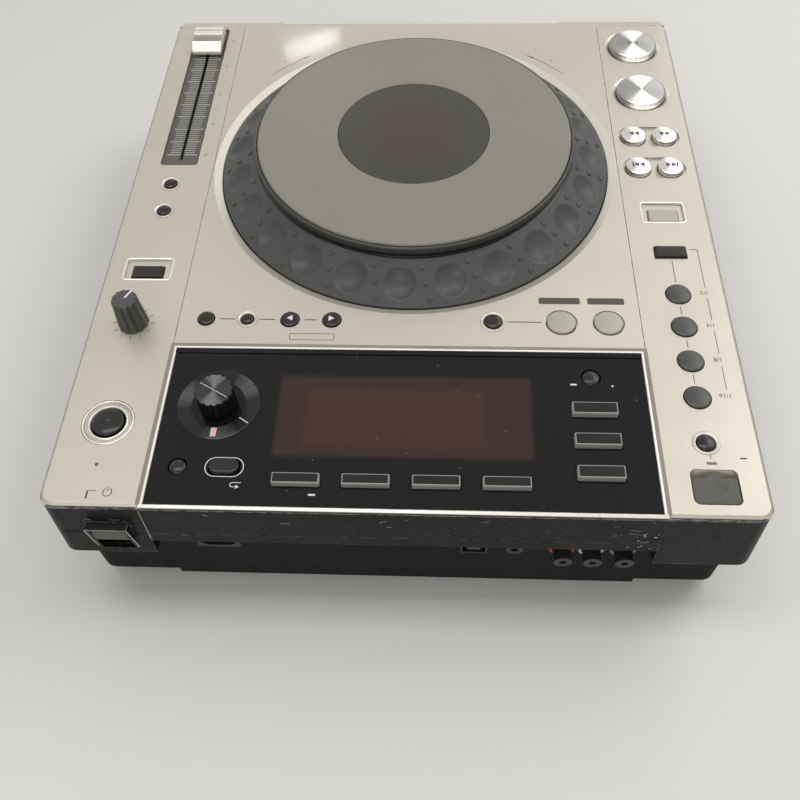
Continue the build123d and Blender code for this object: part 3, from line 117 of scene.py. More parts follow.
# ---------------------------------------------------------------------------
# Finishes
# ---------------------------------------------------------------------------
@dataclass(frozen=True)
class Finish:
    """A moulded or painted surface with uneven tone, gloss and a fine grain.

    Each size is the real one in millimetres; a grain finer than about 0.4 mm is drawn at that size,
    because it wouldn't show otherwise.
    """

    name: str
    colour: str
    second: str  # the tone that it drifts to
    roughness: float = 0.45
    spread: float = 0.1  # how far roughness drifts
    metallic: float = 0.0
    ior: float = 1.5
    specular: float = 0.5
    drift_mm: float = 30.0
    grain_mm: float = 0.5
    bump_mm: float = 0.01
    coat: float = 0.0
    coat_roughness: float = 0.1
    subsurface_mm: float = 0.0

    def tone(self, graph: Graph) -> Socket:
        """Colour that drifts slowly between the two tones, with fine specks."""
        place = graph.place
        cloud = graph.add("TexNoise", {"Vector": place, "Scale": per_mm(self.drift_mm), "Detail": 3.0})
        speck = graph.add("TexNoise", {"Vector": place, "Scale": per_mm(self.grain_mm), "Detail": 1.0})
        both = graph.add("Math", (speck, 0.35, cloud), operation="MULTIPLY_ADD")
        share = graph.add("MapRange", (both, 0.45, 0.95))
        tones = {0: share, 6: linear(self.colour), 7: linear(self.second)}
        return graph.add("Mix", tones, 2, data_type="RGBA")

    def gloss(self, graph: Graph) -> Socket:
        """Roughness that drifts as handling leaves it."""
        scale, half = per_mm(self.drift_mm / 4), self.spread / 2
        smear = graph.add("TexNoise", {"Vector": graph.place, "Scale": scale, "Detail": 4.0})
        return graph.add("MapRange", (smear, 0.3, 0.7, self.roughness - half, self.roughness + half))

    def relief(self, graph: Graph) -> Socket:
        """Fine grain as a bump, over edges that the bevel node eases."""
        grain = graph.add("TexNoise", {"Vector": graph.place, "Scale": per_mm(self.grain_mm), "Detail": 2.0})
        soft = graph.add("Bevel", {"Radius": 0.3 * MM}, samples=4)
        values = {"Strength": 1.0, "Distance": self.bump_mm * MM, "Height": grain, "Normal": soft}
        return graph.add("Bump", values)

    def material(self) -> bpy.types.Material:
        """Builds the material once and gives it back after that."""
        made = bpy.data.materials.get(self.name)
        if made is not None:
            return made
        made = bpy.data.materials.new(self.name)
        made.use_nodes = True
        made.node_tree.nodes.clear()
        graph = Graph(made.node_tree)
        graph.place = graph.add("TexCoord", out="Object")
        values = {
            "Base Color": self.tone(graph),
            "Roughness": self.gloss(graph),
            "Normal": self.relief(graph),
            "Metallic": self.metallic,
            "IOR": self.ior,
            "Specular IOR Level": self.specular,
            "Coat Weight": self.coat,
            "Coat Roughness": self.coat_roughness,
        }
        if self.subsurface_mm:
            values["Subsurface Weight"] = 0.4
            values["Subsurface Radius"] = (1.0, 0.85, 0.6)
            values["Subsurface Scale"] = self.subsurface_mm * MM
        surface = graph.add("BsdfPrincipled", values)
        self.adjust(graph, surface.node)
        graph.add("OutputMaterial", (surface,))
        made.diffuse_color = linear(self.colour)
        return made

    def adjust(self, graph: Graph, shader: bpy.types.Node) -> None:
        """A kind of finish changes what it needs here."""


@dataclass(frozen=True)
class Ink(Finish):
    """Silk-screen ink: a thin dull film without grain."""

    roughness: float = 0.6
    bump_mm: float = 0.0


@dataclass(frozen=True)
class WornPaint(Finish):
    """Sprayed lacquer that handling has chipped along its edges and scratched across its faces."""

    edge: str = "#F2EEE4"
    edge_mm: float = 0.7
    edge_share: float = 0.6  # how much of each edge has lost its paint
    scratch: str = "#F4F0E6"
    scratch_share: float = 0.0
    speck: str = "#F4F0E6"
    speck_share: float = 0.0
    under: str = ""  # colour of the outer walls below a height, where a second coat starts
    under_top: float = 0.0
    half_width: float = 0.0  # outer walls start this far from the middle
    rear: float = 0.0

    def adjust(self, graph: Graph, shader: bpy.types.Node) -> None:
        """Lays the second coat, scratches, specks and rubbed edges over the paint."""
        coats = []
        if self.under:
            coats.append((self.under_mask(graph), self.under))
        if self.scratch_share:
            coats.append((self.hairlines(graph), self.scratch))
        if self.speck_share:
            coats.append((self.specks(graph), self.speck))
        graph.lay(shader, *coats, (self.rubbed(graph), self.edge))

    def under_mask(self, graph: Graph) -> Socket:
        """Mask of the outer walls below the line where the second coat starts."""
        x, y, z = graph.add("SeparateXYZ", (graph.place,)).node.outputs
        side = graph.add("Math", (x,), operation="ABSOLUTE")
        beside = graph.add("Math", (side, self.half_width * MM), operation="GREATER_THAN")
        behind = graph.add("Math", (y, self.rear * MM), operation="GREATER_THAN")
        outer = graph.add("Math", (beside, behind), operation="MAXIMUM")
        top, soft = self.under_top * MM, 0.1 * MM
        low = graph.add("MapRange", (z, top + soft, top - soft))
        return graph.add("Math", (outer, low), operation="MULTIPLY")

    def rubbed(self, graph: Graph) -> Socket:
        """Mask of the edges that have lost their paint, in patches."""
        rim = graph.add("Bevel", {"Radius": self.edge_mm * MM}, samples=6)
        flat = graph.add("NewGeometry", out="Normal")
        turn = graph.add("VectorMath", (rim, flat), "Value", operation="DOT_PRODUCT")
        chips = graph.add("TexNoise", {"Vector": graph.place, "Scale": per_mm(3.0), "Detail": 5.0})
        bent = graph.add("MapRange", (turn, 0.995, 0.93))
        share = graph.add("MapRange", (chips, 0.62, 0.42 - 0.1 * self.edge_share))
        worn = graph.add("Math", (bent, share), operation="MULTIPLY")
        return graph.add("Math", (worn, self.edge_share), operation="MULTIPLY")

    def specks(self, graph: Graph) -> Socket:
        """Mask of scattered pale nicks, bunched where things have knocked against the paint."""
        cells = graph.add("TexVoronoi", {"Vector": graph.place, "Scale": per_mm(4.0)}, "Distance")
        spot = graph.add("MapRange", (cells, 0.1, 0.05))
        bunch = graph.add("TexNoise", {"Vector": graph.place, "Scale": per_mm(14.0), "Detail": 2.0})
        where = graph.add("MapRange", (bunch, 0.52, 0.62, 0.0, self.speck_share))
        return graph.add("Math", (spot, where), operation="MULTIPLY")

    def hairlines(self, graph: Graph) -> Socket:
        """Mask of a few thin scratches at two angles."""
        masks = []
        for angle, seed in ((0.35, 3.0), (-0.9, 11.0)):
            values = {"Vector": graph.place, "Rotation": (0.25, angle, angle), "Location": (seed,) * 3}
            turned = graph.add("Mapping", values)
            drawn = graph.add("Mapping", {"Vector": turned, "Scale": (1.0, 18.0, 18.0)})
            lines = graph.add("TexNoise", {"Vector": drawn, "Scale": per_mm(11.0), "Detail": 1.0})
            masks.append(graph.add("MapRange", (lines, 0.72, 0.76, 0.0, self.scratch_share)))
        return graph.add("Math", masks, operation="MAXIMUM")


@dataclass(frozen=True)
class SpunMetalPaintedHighlight(Finish):
    """Metal turned on a lathe with fine rings: its gloss is stretched round the middle, and a painted highlight of
    pale wedge shapes fans out from the middle in its colour.
    """

    # colour of the painted highlight
    pale: str = "#FFFFFF"
    highlight_wedges: float = 2.0  # how many bright painted highlight wedge shapes go round the middle
    turn: float = 90.0  # where the first painted highlight wedge shape points, in degrees
    depth: float = 0.5  # how strongly the painted highlight is laid over the colour

    def adjust(self, graph: Graph, shader: bpy.types.Node) -> None:
        """Stretches the gloss round the middle and paints a highlight into the colour: a fan of pale wedge shapes
        with streaks.
        """
        own = graph.add("TexCoord", out="Generated")
        centred = graph.add("VectorMath", (own, (0.5, 0.5, 0.5)), operation="SUBTRACT")
        x, y, _ = graph.add("SeparateXYZ", (centred,)).node.outputs
        angle = graph.add("Math", (y, x), operation="ARCTAN2")
        shift = math.radians(self.turn) * self.highlight_wedges
        shifted = graph.add("Math", (angle, self.highlight_wedges, shift), operation="MULTIPLY_ADD")
        wedge_highlight = graph.add("Math", (shifted,), operation="COSINE")
        highlight_streaks = graph.add("TexNoise", {"W": angle, "Scale": 9.0, "Detail": 4.0}, noise_dimensions="1D")
        painted_highlight = graph.add("Math", (highlight_streaks, 0.9, wedge_highlight), operation="MULTIPLY_ADD")
        graph.lay(shader, (graph.add("MapRange", (painted_highlight, 0.5, 1.45, 0.0, self.depth)), self.pale))
        shader.inputs["Anisotropic"].default_value = 0.7
        around_z = graph.add("Tangent", direction_type="RADIAL", axis="Z")
        graph.tree.links.new(around_z, shader.inputs["Tangent"])


@dataclass(frozen=True)
class DisplayPane(Finish):
    """Smoked acrylic over a dot-matrix screen that is off: a dull red field behind black gloss."""

    screen: str = "#432A27"
    inner: str = "#382725"
    dust: str = "#B8B4AC"
    centre: Point = (0.0, 0.0)
    width: float = 112.0
    length: float = 42.0
    soft: float = 1.2  # half the width of each field's soft edge

    def field(self, graph: Graph, centre: Point, size: Point) -> Socket:
        """Mask of a rectangle with soft edges."""
        axes = graph.add("SeparateXYZ", (graph.place,)).node.outputs
        masks = []
        for axis, middle, whole in zip(axes, centre, size):
            away = graph.add("Math", (axis, middle * MM), operation="SUBTRACT")
            reach = graph.add("Math", (away,), operation="ABSOLUTE")
            edges = ((whole / 2 + self.soft) * MM, (whole / 2 - self.soft) * MM)
            masks.append(graph.add("MapRange", (reach, *edges)))
        return graph.add("Math", masks, operation="MULTIPLY")

    def adjust(self, graph: Graph, shader: bpy.types.Node) -> None:
        """Shows the screen through the pane and strews dust on it."""
        (x, y), width, length = self.centre, self.width, self.length
        fields = (((x, y), (width, length), self.inner), ((x + 4, y + 1), (width - 32, length - 12), self.screen),
                  ((x - width / 2 + 9, y + 1), (11, length - 14), self.inner))
        coats = [(self.field(graph, centre, size), colour) for centre, size, colour in fields]
        cells = graph.add("TexVoronoi", {"Vector": graph.place, "Scale": per_mm(9.0)}, "Distance")
        specks = graph.add("MapRange", (cells, 0.035, 0.02, 0.0, 0.5))
        graph.lay(shader, *coats, (specks, self.dust))


@dataclass(frozen=True)
class SmokedDisc(Finish):
    """Smoked acrylic disc over a ring display that is off: reddish in the middle, grey round it."""

    heart: str = "#493D38"
    centre: Point = (0.0, 0.0)
    heart_mm: float = 34.0

    def adjust(self, graph: Graph, shader: bpy.types.Node) -> None:
        """Fades to the warm tone of the display under the middle."""
        middle = (self.centre[0] * MM, self.centre[1] * MM, 0.0)
        away = graph.add("VectorMath", (graph.place, middle), operation="SUBTRACT")
        level = graph.add("VectorMath", (away, (1.0, 1.0, 0.0)), operation="MULTIPLY")
        radius = graph.add("VectorMath", (level,), "Value", operation="LENGTH")
        edges = (self.heart_mm * MM, 0.4 * self.heart_mm * MM)
        fade = graph.add("MapRange", (radius, *edges), interpolation_type="SMOOTHSTEP")
        graph.lay(shader, (fade, self.heart))


# Silver lacquer with fine aluminium flake on moulded ABS: satin and warm, it brightens towards the lamp.
SILVER = WornPaint("silver_lacquer", "#BCB6A8", "#B3ADA0", roughness=0.48, spread=0.06, metallic=0.6,
                   specular=0.4, coat=0.3, coat_roughness=0.08, drift_mm=90.0, grain_mm=0.4, bump_mm=0.004,
                   edge_share=0.7, speck_share=0.35, under="#2C2D2B", under_top=84.8, half_width=151.0,
                   rear=168.1)
# Charcoal lacquer on ABS: satin, with pale nicks and scratches down to the plastic.
CHARCOAL = WornPaint("charcoal_lacquer", "#1A1B1A", "#141514", roughness=0.42, specular=0.14, drift_mm=60.0,
                     edge="#A9A499", edge_mm=0.5, edge_share=0.7, scratch="#6C6963", scratch_share=0.5,
                     speck="#8F8B82", speck_share=0.45)
# Powder coat on folded steel: matt black with an even orange-peel grain.
POWDER_COAT = Finish("powder_coat", "#131413", "#1A1B1A", roughness=0.7, specular=0.15, grain_mm=0.8,
                     bump_mm=0.05)
# Moulded synthetic rubber: dull, slightly grey where it wears.
RUBBER = Finish("foot_rubber", "#1B1B1B", "#2A2A28", roughness=0.85, grain_mm=0.6, bump_mm=0.03)
# Zinc plate on steel: pale bluish metal.
ZINC = Finish("zinc_plate", "#A9ABAA", "#8E908F", roughness=0.35, metallic=1.0, drift_mm=3.0)
# Bright rolled steel of the drive and the fader channel.
STEEL = Finish("rolled_steel", "#A7A8A6", "#8F908E", roughness=0.32, metallic=1.0, drift_mm=25.0)
# Glass-filled nylon inside the housing: black and dull.
NYLON = Finish("black_nylon", "#151616", "#1E1F1E", roughness=0.6)
# Solder mask on glass-epoxy board: green gloss.
SOLDER_MASK = Finish("solder_mask", "#1E4A31", "#173C28", roughness=0.3, drift_mm=12.0, coat=0.3)
# Satin ABS of the dimpled wheel: greenish charcoal that handling has polished.
WHEEL_ABS = Finish("wheel_abs", "#464946", "#3F423F", roughness=0.42, spread=0.12, specular=0.35,
                   drift_mm=26.0, grain_mm=0.45)
# Piano-black moulded rim of the wheel: a narrow bright line runs round it.
RIM_ABS = Finish("rim_abs", "#101211", "#161817", roughness=0.2, spread=0.06, specular=0.4)
# Satin collar between the rim and the touch plate: a soft dark grey.
COLLAR_ABS = Finish("collar_abs", "#33352F", "#3B3D38", roughness=0.35)
# Dull grey laid flat along the grooves and in the seams: painted shade that stands for the shadow in a groove, so
# that a groove reads as a line.
GROOVE_SHADE = Finish("groove_shade", "#968F84", "#8A8378", roughness=0.6, specular=0.2)
# Grey stoved paint on the aluminium touch plate: very even satin.
PLATE_PAINT = Finish("touch_plate_paint", "#8A877D", "#858278", roughness=0.4, specular=0.25,
                     drift_mm=70.0, grain_mm=0.4, bump_mm=0.003, spread=0.05)
# The edge of the same plate, rubbed through to pale specks.
PLATE_EDGE = WornPaint("touch_plate_edge", "#7B7870", "#5C5A55", roughness=0.35, specular=0.4, drift_mm=2.0,
                       edge="#C9C5BA", edge_share=0.9, speck="#D8D4C8", speck_share=1.0)
# Chrome plate on turned ABS: mirror gloss stretched by the turning marks, with a painted highlight of pale wedge
# shapes in its colour.
SPUN_CHROME_PAINTED_HIGHLIGHT = SpunMetalPaintedHighlight("spun_chrome_painted_highlight", "#8D8C89", "#9B9A96", roughness=0.24, metallic=1.0, spread=0.06,
                        depth=0.85, bump_mm=0.002)
# The same plate on the small domes, polished brighter, with the same painted highlight.
DOME_CHROME_PAINTED_HIGHLIGHT = SpunMetalPaintedHighlight("dome_chrome_painted_highlight", "#C2C0BB", "#CCCAC5", roughness=0.2, metallic=1.0, spread=0.05,
                        depth=0.9, bump_mm=0.0)
# Moulded ABS keys with a satin skin: charcoal and, glossier, black.
DARK_KEY = Finish("dark_key_abs", "#494A46", "#41423E", roughness=0.3, spread=0.06, specular=0.35)
BLACK_KEY = Finish("black_key_abs", "#1B1B18", "#20201D", roughness=0.2, spread=0.06, specular=0.35)
# Matt black print on the tops of the display keys.
KEY_FIELD = Finish("key_field_ink", "#1E1F1D", "#242523", roughness=0.4, specular=0.15)
# Translucent warm grey ABS over lamps: light sinks in a little.
BEIGE_KEY = Finish("beige_key_abs", "#B5B1A0", "#A9A594", roughness=0.4, subsurface_mm=1.5)
# Grey ABS surround of the display keys: satin.
GREY_KEY = Finish("grey_key_abs", "#A2A29D", "#979792", roughness=0.35, specular=0.35)
# Silk-screen inks: dull against the satin round them.
DARK_INK = Ink("dark_ink", "#45423D", "#3B3935")
WHITE_INK = Ink("white_ink", "#E9E7E2", "#DAD8D2")
LABEL_INK = Ink("label_ink", "#4A4842", "#514E48", roughness=0.5, specular=0.3)
TICK_INK = Ink("tick_ink", "#E4E1D8", "#D6D3CA")
# Moulded acrylic lenses of lamps that are off: deep and smooth.
RED_LENS = Finish("red_lens", "#4C2220", "#5E2C28", roughness=0.3, coat=0.5)
LAMP_LENS = Finish("lamp_lens", "#746D62", "#7E776B", roughness=0.3, specular=0.3)
PINK_LENS = Finish("pink_lens", "#D9B3A8", "#E8CDC4", roughness=0.3)
# Matt dark paint of the recessed scale.
SCALE_PAINT = Finish("scale_paint", "#55534D", "#4B4943", roughness=0.55)
# Spun black aluminium of the selector and of the ring round it: a painted highlight of grey wedge shapes on black.
SPUN_BLACK_PAINTED_HIGHLIGHT = SpunMetalPaintedHighlight("spun_black_painted_highlight", "#333433", "#2B2C2B", roughness=0.3, metallic=0.6, pale="#9A9B98")
SPUN_RING_PAINTED_HIGHLIGHT = SpunMetalPaintedHighlight("spun_ring_painted_highlight", "#161817", "#1C1E1D", roughness=0.3, metallic=0.3, specular=0.3,
                      pale="#6E706D", highlight_wedges=3.0, turn=20.0, depth=0.45)
# Black moulded ABS skirt of the selector.
GRIP_ABS = Finish("grip_abs", "#0B0C0B", "#111210", roughness=0.38, specular=0.2)
# Matt charcoal ABS of the fluted speed knob.
KNOB_ABS = Finish("knob_abs", "#3F423F", "#363936", roughness=0.4)
# Metallised ABS of the fader cap: satin silver, with a duller grey laid in its grooves as painted shade.
CAP_SILVER = Finish("cap_silver", "#E6E2D8", "#DAD5CA", roughness=0.3, metallic=0.4, coat=0.2, bump_mm=0.003)
CAP_GROOVE_SHADE = Finish("cap_groove_shade", "#9A978F", "#8B8881", roughness=0.35, metallic=0.4, bump_mm=0.003)
# Grey moulded ABS of the stick lid.
LID_ABS = Finish("lid_abs", "#5A5953", "#54534D", roughness=0.42, specular=0.25)
# Moulded ABS of the sockets and their coloured rings.
SOCKET_ABS = Finish("socket_abs", "#1A1A1A", "#222222", roughness=0.4)
RED_RING = Finish("red_ring", "#A8352D", "#932C26", roughness=0.4)
WHITE_RING = Finish("white_ring", "#DCD9D2", "#CECBC3", roughness=0.4)
# Metallised trim strips: one bright, one dull. The bright one is also laid on the silver ramp of the stick bay as a
# painted highlight.
BRIGHT_TRIM_AND_RAMP_HIGHLIGHT = Finish("bright_trim_and_ramp_highlight", "#F1EEE6", "#E8E4DB", roughness=0.3, metallic=0.3)
DULL_TRIM = Finish("dull_trim", "#8E897E", "#827D72", roughness=0.45, metallic=0.3)
# Satin silver paint on the bezels of the small keys.
BEZEL_SILVER = Finish("bezel_silver", "#E4E0D6", "#D9D5CB", roughness=0.3, metallic=0.6, spread=0.05, bump_mm=0.0)
# Bare plastic that shows where the charcoal lacquer has rubbed off.
RUBBED_EDGE = Finish("rubbed_edge", "#D9D5CB", "#9C988F", roughness=0.5, drift_mm=4.0)
# Shadow in the joint of two mouldings: dull and nearly black.
PARTING_LINE = Finish("parting_line", "#0D0D0D", "#131312", roughness=0.7, specular=0.2)
# Satin silver on the chamfer round the wheel, painted brighter than the plates' silver: real satin paint, partly a
# painted highlight.
LINING_HIGHLIGHT_SILVER = Finish("lining_highlight_silver", "#D3CEC2", "#C8C3B7", roughness=0.36, metallic=0.6, spread=0.05,
                       drift_mm=40.0, bump_mm=0.0)


# ---------------------------------------------------------------------------
# Shapes
# ---------------------------------------------------------------------------
class Ends(Enum):
    """How a stack of outlines ends."""

    TOP = "closed on top"
    BOTH = "closed on top and at its foot"
    OPEN = "open at both ends"
    RING = "its last outline joins its first"


@dataclass
class Shape:
    """Points in millimetres and faces of a mesh in the making."""

    points: list[Place] = field(default_factory=list)
    faces: list[Face] = field(default_factory=list)

    def join(self, *others: "Shape") -> "Shape":
        """Takes in other shapes and gives itself back."""
        for other in others:
            start = len(self.points)
            self.points += other.points
            self.faces += [tuple(start + corner for corner in face) for face in other.faces]
        return self


def around(x: float, y: float, radius: float, turn: float) -> Point:
    """A point at that radius and angle, in radians, round a middle."""
    return (x + radius * math.cos(turn), y + radius * math.sin(turn))


def circle(x: float, y: float, radius: float, sides: int = 64) -> Outline:
    """Outline of a circle that shrinks by the inset."""
    turns = [math.tau * step / sides for step in range(sides)]
    return lambda inset: [around(x, y, max(radius - inset, 0.01), turn) for turn in turns]


def bar(x: float, y: float, width: float, length: float, corner: float, sides: int = 6) -> Outline:
    """Outline of a rectangle with round corners that shrinks by the inset."""

    def trace(inset: float) -> list[Point]:
        """Points of the rectangle at that inset."""
        half_x, half_y = max(width / 2 - inset, 0.01), max(length / 2 - inset, 0.01)
        bend = min(max(corner - inset, 0.05), half_x, half_y)
        return [around(x + side_x * (half_x - bend), y + side_y * (half_y - bend), bend,
                       math.pi / 2 * (quarter + step / sides))
                for quarter, (side_x, side_y) in enumerate(((1, 1), (-1, 1), (-1, -1), (1, -1)))
                for step in range(sides + 1)]

    return trace


def lobed(x: float, y: float, radius: float, lobes: int, depth: float, sharp: float = 1.0) -> Outline:
    """Outline of a grip with that many hollows round it."""
    turns = [math.tau * step / (lobes * 10) for step in range(lobes * 10)]
    hollows = [depth * max(math.cos(turn * lobes), 0.0) ** sharp for turn in turns]
    return lambda inset: [around(x, y, max(radius - inset - hollow, 0.01), turn)
                          for turn, hollow in zip(turns, hollows)]


def above(level: float, *points: Point) -> list[Point]:
    """Profile whose heights are counted from a level."""
    return [(inset, level + height) for inset, height in points]


def eased(profile: Sequence[Point], radius: float, steps: int = 4) -> list[Point]:
    """Rounds the inner corners of a profile.

    Args:
        profile: (inset, height) points.
        radius: how far from each corner the round starts.
        steps: points along each round, less one.

    Returns:
        The profile with round corners.
    """
    result = [profile[0]]
    for before, corner, after in zip(profile, profile[1:], profile[2:]):
        here = Vector(corner)
        start, end = (here.lerp(Vector(other), min(0.5, radius / max((Vector(other) - here).length, 1e-6)))
                      for other in (before, after))
        for step in range(steps + 1):
            share = step / steps
            result.append(tuple(start.lerp(here, share).lerp(here.lerp(end, share), share)))
    return [*result, profile[-1]]


def weave(rows: int, count: int, ring: bool = False) -> list[Face]:
    """Faces between closed rows of points.

    Args:
        rows: number of rows.
        count: points in each row.
        ring: also joins the last row to the first.

    Returns:
        The faces.
    """
    pairs = [(row * count, (row + 1) % rows * count) for row in range(rows if ring else rows - 1)]
    return [(here + side, here + (side + 1) % count, there + (side + 1) % count, there + side)
            for here, there in pairs for side in range(count)]


def stack(outline: Outline, profile: Sequence[Point], ends: Ends = Ends.TOP) -> Shape:
    """Skins an outline that is drawn at each (inset, height) of a profile.

    Args:
        outline: gives the points at an inset.
        profile: (inset, height) from the foot up.
        ends: how the skin ends.

    Returns:
        The closed or open skin.
    """
    points = [(x, y, height) for inset, height in profile for x, y in outline(inset)]
    rows, count = len(profile), len(points) // len(profile)
    shape = Shape(points, weave(rows, count, ends is Ends.RING))
    if ends in (Ends.TOP, Ends.BOTH):
        shape.faces.append(tuple(range((rows - 1) * count, rows * count)))
    if ends is Ends.BOTH:
        shape.faces.append(tuple(reversed(range(count))))
    return shape


def plate(points: Sequence[Point], low: float) -> Shape:
    """A printed mark with that outline."""
    count, ordered = len(points), list(points)
    if sum(a[0] * b[1] - b[0] * a[1] for a, b in zip(ordered, ordered[1:] + ordered[:1])) <= 0:
        ordered.reverse()
    corners = [(x, y, height) for height in (low, low + INK) for x, y in ordered]
    return Shape(corners, [tuple(range(count, 2 * count)), tuple(reversed(range(count))), *weave(2, count)])


def moulding(points: Sequence[Point], profile: Sequence[Point], closed: bool = False) -> Shape:
    """Runs a closed profile along a level path, with mitred corners.

    Args:
        points: the path.
        profile: (distance to the left of the path, height) points.
        closed: joins the path's end to its start.

    Returns:
        The skin, with both ends closed where the path is open.
    """
    route, count = [Vector(point) for point in points], len(profile)
    shape = Shape([], weave(len(route), count, closed))
    for place, here in enumerate(route):
        before = route[place - 1] if closed or place else here
        after = route[(place + 1) % len(route)] if closed or place < len(route) - 1 else here
        ways = [way.normalized() for way in (here - before, after - here) if way.length > 0]
        along = (ways[0] + ways[-1]).normalized()
        across = Vector((-along.y, along.x)) * (1 / max(along.dot(ways[0]), 0.3))
        shape.points += [(here.x + across.x * far, here.y + across.y * far, height) for far, height in profile]
    if not closed:
        last = (len(route) - 1) * count
        shape.faces += [tuple(range(count)), tuple(range(last, last + count))]
    return shape


def stroke(points: Sequence[Point], width: float, low: float, closed: bool = False) -> Shape:
    """A printed line of even width along the points."""
    half = width / 2
    return moulding(points, [(half, low), (half, low + INK), (-half, low + INK), (-half, low)], closed)


def arc(x: float, y: float, radius: float, start: float, end: float, steps: int = 24) -> list[Point]:
    """Points along an arc, with angles in degrees."""
    turns = (math.radians(start + (end - start) * step / steps) for step in range(steps + 1))
    return [around(x, y, radius, turn) for turn in turns]


def triangle(x: float, y: float, size: float, side: int, low: float) -> Shape:
    """A printed play triangle that points to the left (-1) or the right (1)."""
    back = x - side * size / 2
    return plate([(back, y - size * 0.6), (x + side * size / 2, y), (back, y + size * 0.6)], low)


def upright(shape: Shape, wall: Callable[[float], float]) -> Shape:
    """Stands a flat shape up against a rear wall.

    Args:
        shape: its x runs across, its y turns to height and its z to how far it stands out.
        wall: gives the wall's place along at a height.

    Returns:
        The upright shape.
    """
    return Shape([(x, wall(height) + out, height) for x, height, out in shape.points],
                 [tuple(reversed(face)) for face in shape.faces])


class Spot:
    """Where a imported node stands, in millimetres."""

    def __init__(self, node: str) -> None:
        """Measures the node."""
        self.low, self.high = (Vector(corner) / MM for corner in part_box(node))
        spans = list(zip(self.low.xy, self.high.xy))
        self.x, self.y = ((low + high) / 2 for low, high in spans)
        self.width, self.length = (high - low for low, high in spans)


def key_spot(name: str) -> Spot:
    """Where a key stands."""
    return Spot(name + "_button")


def dress(node: str, finish: Finish) -> None:
    """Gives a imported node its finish."""
    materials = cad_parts[node].data.materials
    materials.clear()
    materials.append(finish.material())
    log.info("%s, %s", node, finish.name)


def build_piece(name: str, shape: Shape, finish: Finish, body: str = "root",
                stands_for: str = "", bevel: float = 0.0) -> bpy.types.Object:
    """Makes an object of a shape, gives it its finish and lets it ride on its body.

    Args:
        name: name of the piece.
        shape: its points and faces.
        finish: its finish.
        body: the body that it moves with.
        stands_for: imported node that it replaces.
        bevel: radius that a bevel modifier gives its edges, in millimetres.

    Returns:
        The new object.
    """
    mesh = bpy.data.meshes.new(name)
    mesh.from_pydata([tuple(value * MM for value in point) for point in shape.points], [], shape.faces)
    mesh.validate()
    skin = bmesh.new()
    skin.from_mesh(mesh)
    bmesh.ops.recalc_face_normals(skin, faces=skin.faces)
    skin.to_mesh(mesh)
    skin.free()
    mesh.polygons.foreach_set("use_smooth", [True] * len(mesh.polygons))
    mesh.set_sharp_from_angle(angle=math.radians(38))
    mesh.materials.append(finish.material())
    piece = bpy.data.objects.new(name, mesh)
    bpy.context.scene.collection.objects.link(piece)
    if bevel:
        edge = piece.modifiers.new("edge", "BEVEL")
        edge.width = bevel * MM
        edge.segments = 3
        edge.limit_method = "ANGLE"
        edge.angle_limit = math.radians(40)
    even = piece.modifiers.new("even", "WEIGHTED_NORMAL")
    even.keep_sharp = True
    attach(piece, body)
    if stands_for:
        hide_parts(stands_for)
    log.info("%s on %s, %s", name, body, finish.name)
    return piece


# ---------------------------------------------------------------------------
# Sub-assemblies
# ---------------------------------------------------------------------------
@dataclass
class Housing:
    """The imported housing, chassis and inner pieces, with their finishes."""

    coats: tuple[tuple[Finish, str], ...] = (
        (SILVER, "centre_panel left_strip right_strip"), (CHARCOAL, "upper_case"),
        (POWDER_COAT, "lower_chassis rear_panel"), (RUBBER, "feet"), (ZINC, "screws"),
        (SOCKET_ABS, "sockets"), (SCALE_PAINT, "fader_plate"), (NYLON, "jog_base jog_display"),
        (STEEL, "fader_unit drive_unit selector_shaft"), (SOLDER_MASK, "control_board main_board"),
        (LID_ABS, "usb_lid"), (DARK_KEY, "power_button"),
    )

    def build(self) -> None:
        """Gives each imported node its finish."""
        for finish, nodes in self.coats:
            for node in nodes.split():
                dress(node, finish)


@dataclass
class PlateTrim:
    """The lining round the wheel's opening, brighter than the plates as a painted highlight; grey painted shade in
    the seams between the plates; and the frames of two recesses.
    """

    opening: float = 104.5
    chamfer: float = 4.2
    chamfer_depth: float = 1.8
    seam_x: float = 109.4
    seam_width: float = 0.36
    recesses: tuple[tuple[str, float, float, float], ...] = (
        ("direction", 21.3, 13.9, 2.2), ("jog_mode", 23.2, 13.4, 1.5),
    )  # key, width, length and how far the recess reaches ahead of the key

    def build(self) -> None:
        """Builds lining, seams and frames."""
        wheel, plates = Spot("jog_wheel"), Spot("centre_panel")
        face, width, depth = plates.high.z, self.chamfer, self.chamfer_depth
        lining = above(face, (0.0, -0.1), (0.0, 0.05), (0.15, 0.06), (0.4, -0.06), (width, 0.06 - depth),
                       (width, -0.2 - depth), (0.3, -0.2))
        outline = circle(wheel.x, wheel.y, self.opening + width + 0.02, 240)
        build_piece("wheel_lining_highlight", stack(outline, lining, Ends.RING), LINING_HIGHLIGHT_SILVER)
        # A grey bar sits low in each seam between the plates: painted shade of the seam.
        seams = Shape()
        for side in (-1, 1):
            outline = bar(side * self.seam_x, plates.y, self.seam_width, plates.length - 9.0, 0.1, 1)
            seams.join(stack(outline, above(face, (0.0, -0.9), (0.0, -0.28))))
        build_piece("plate_seams", seams, GROOVE_SHADE)
        profile = above(face, (0.0, -0.1), (0.0, 0.05), (0.35, 0.2), (0.6, 0.2), (0.95, 0.02), (1.25, -1.0),
                        (0.6, -1.0))
        for name, across, along, shift in self.recesses:
            key = key_spot(name)
            outline = bar(key.x, key.y - shift, across + 1.6, along + 1.6, 2.4, 8)
            build_piece(name + "_frame", stack(outline, profile, Ends.RING), BEZEL_SILVER)


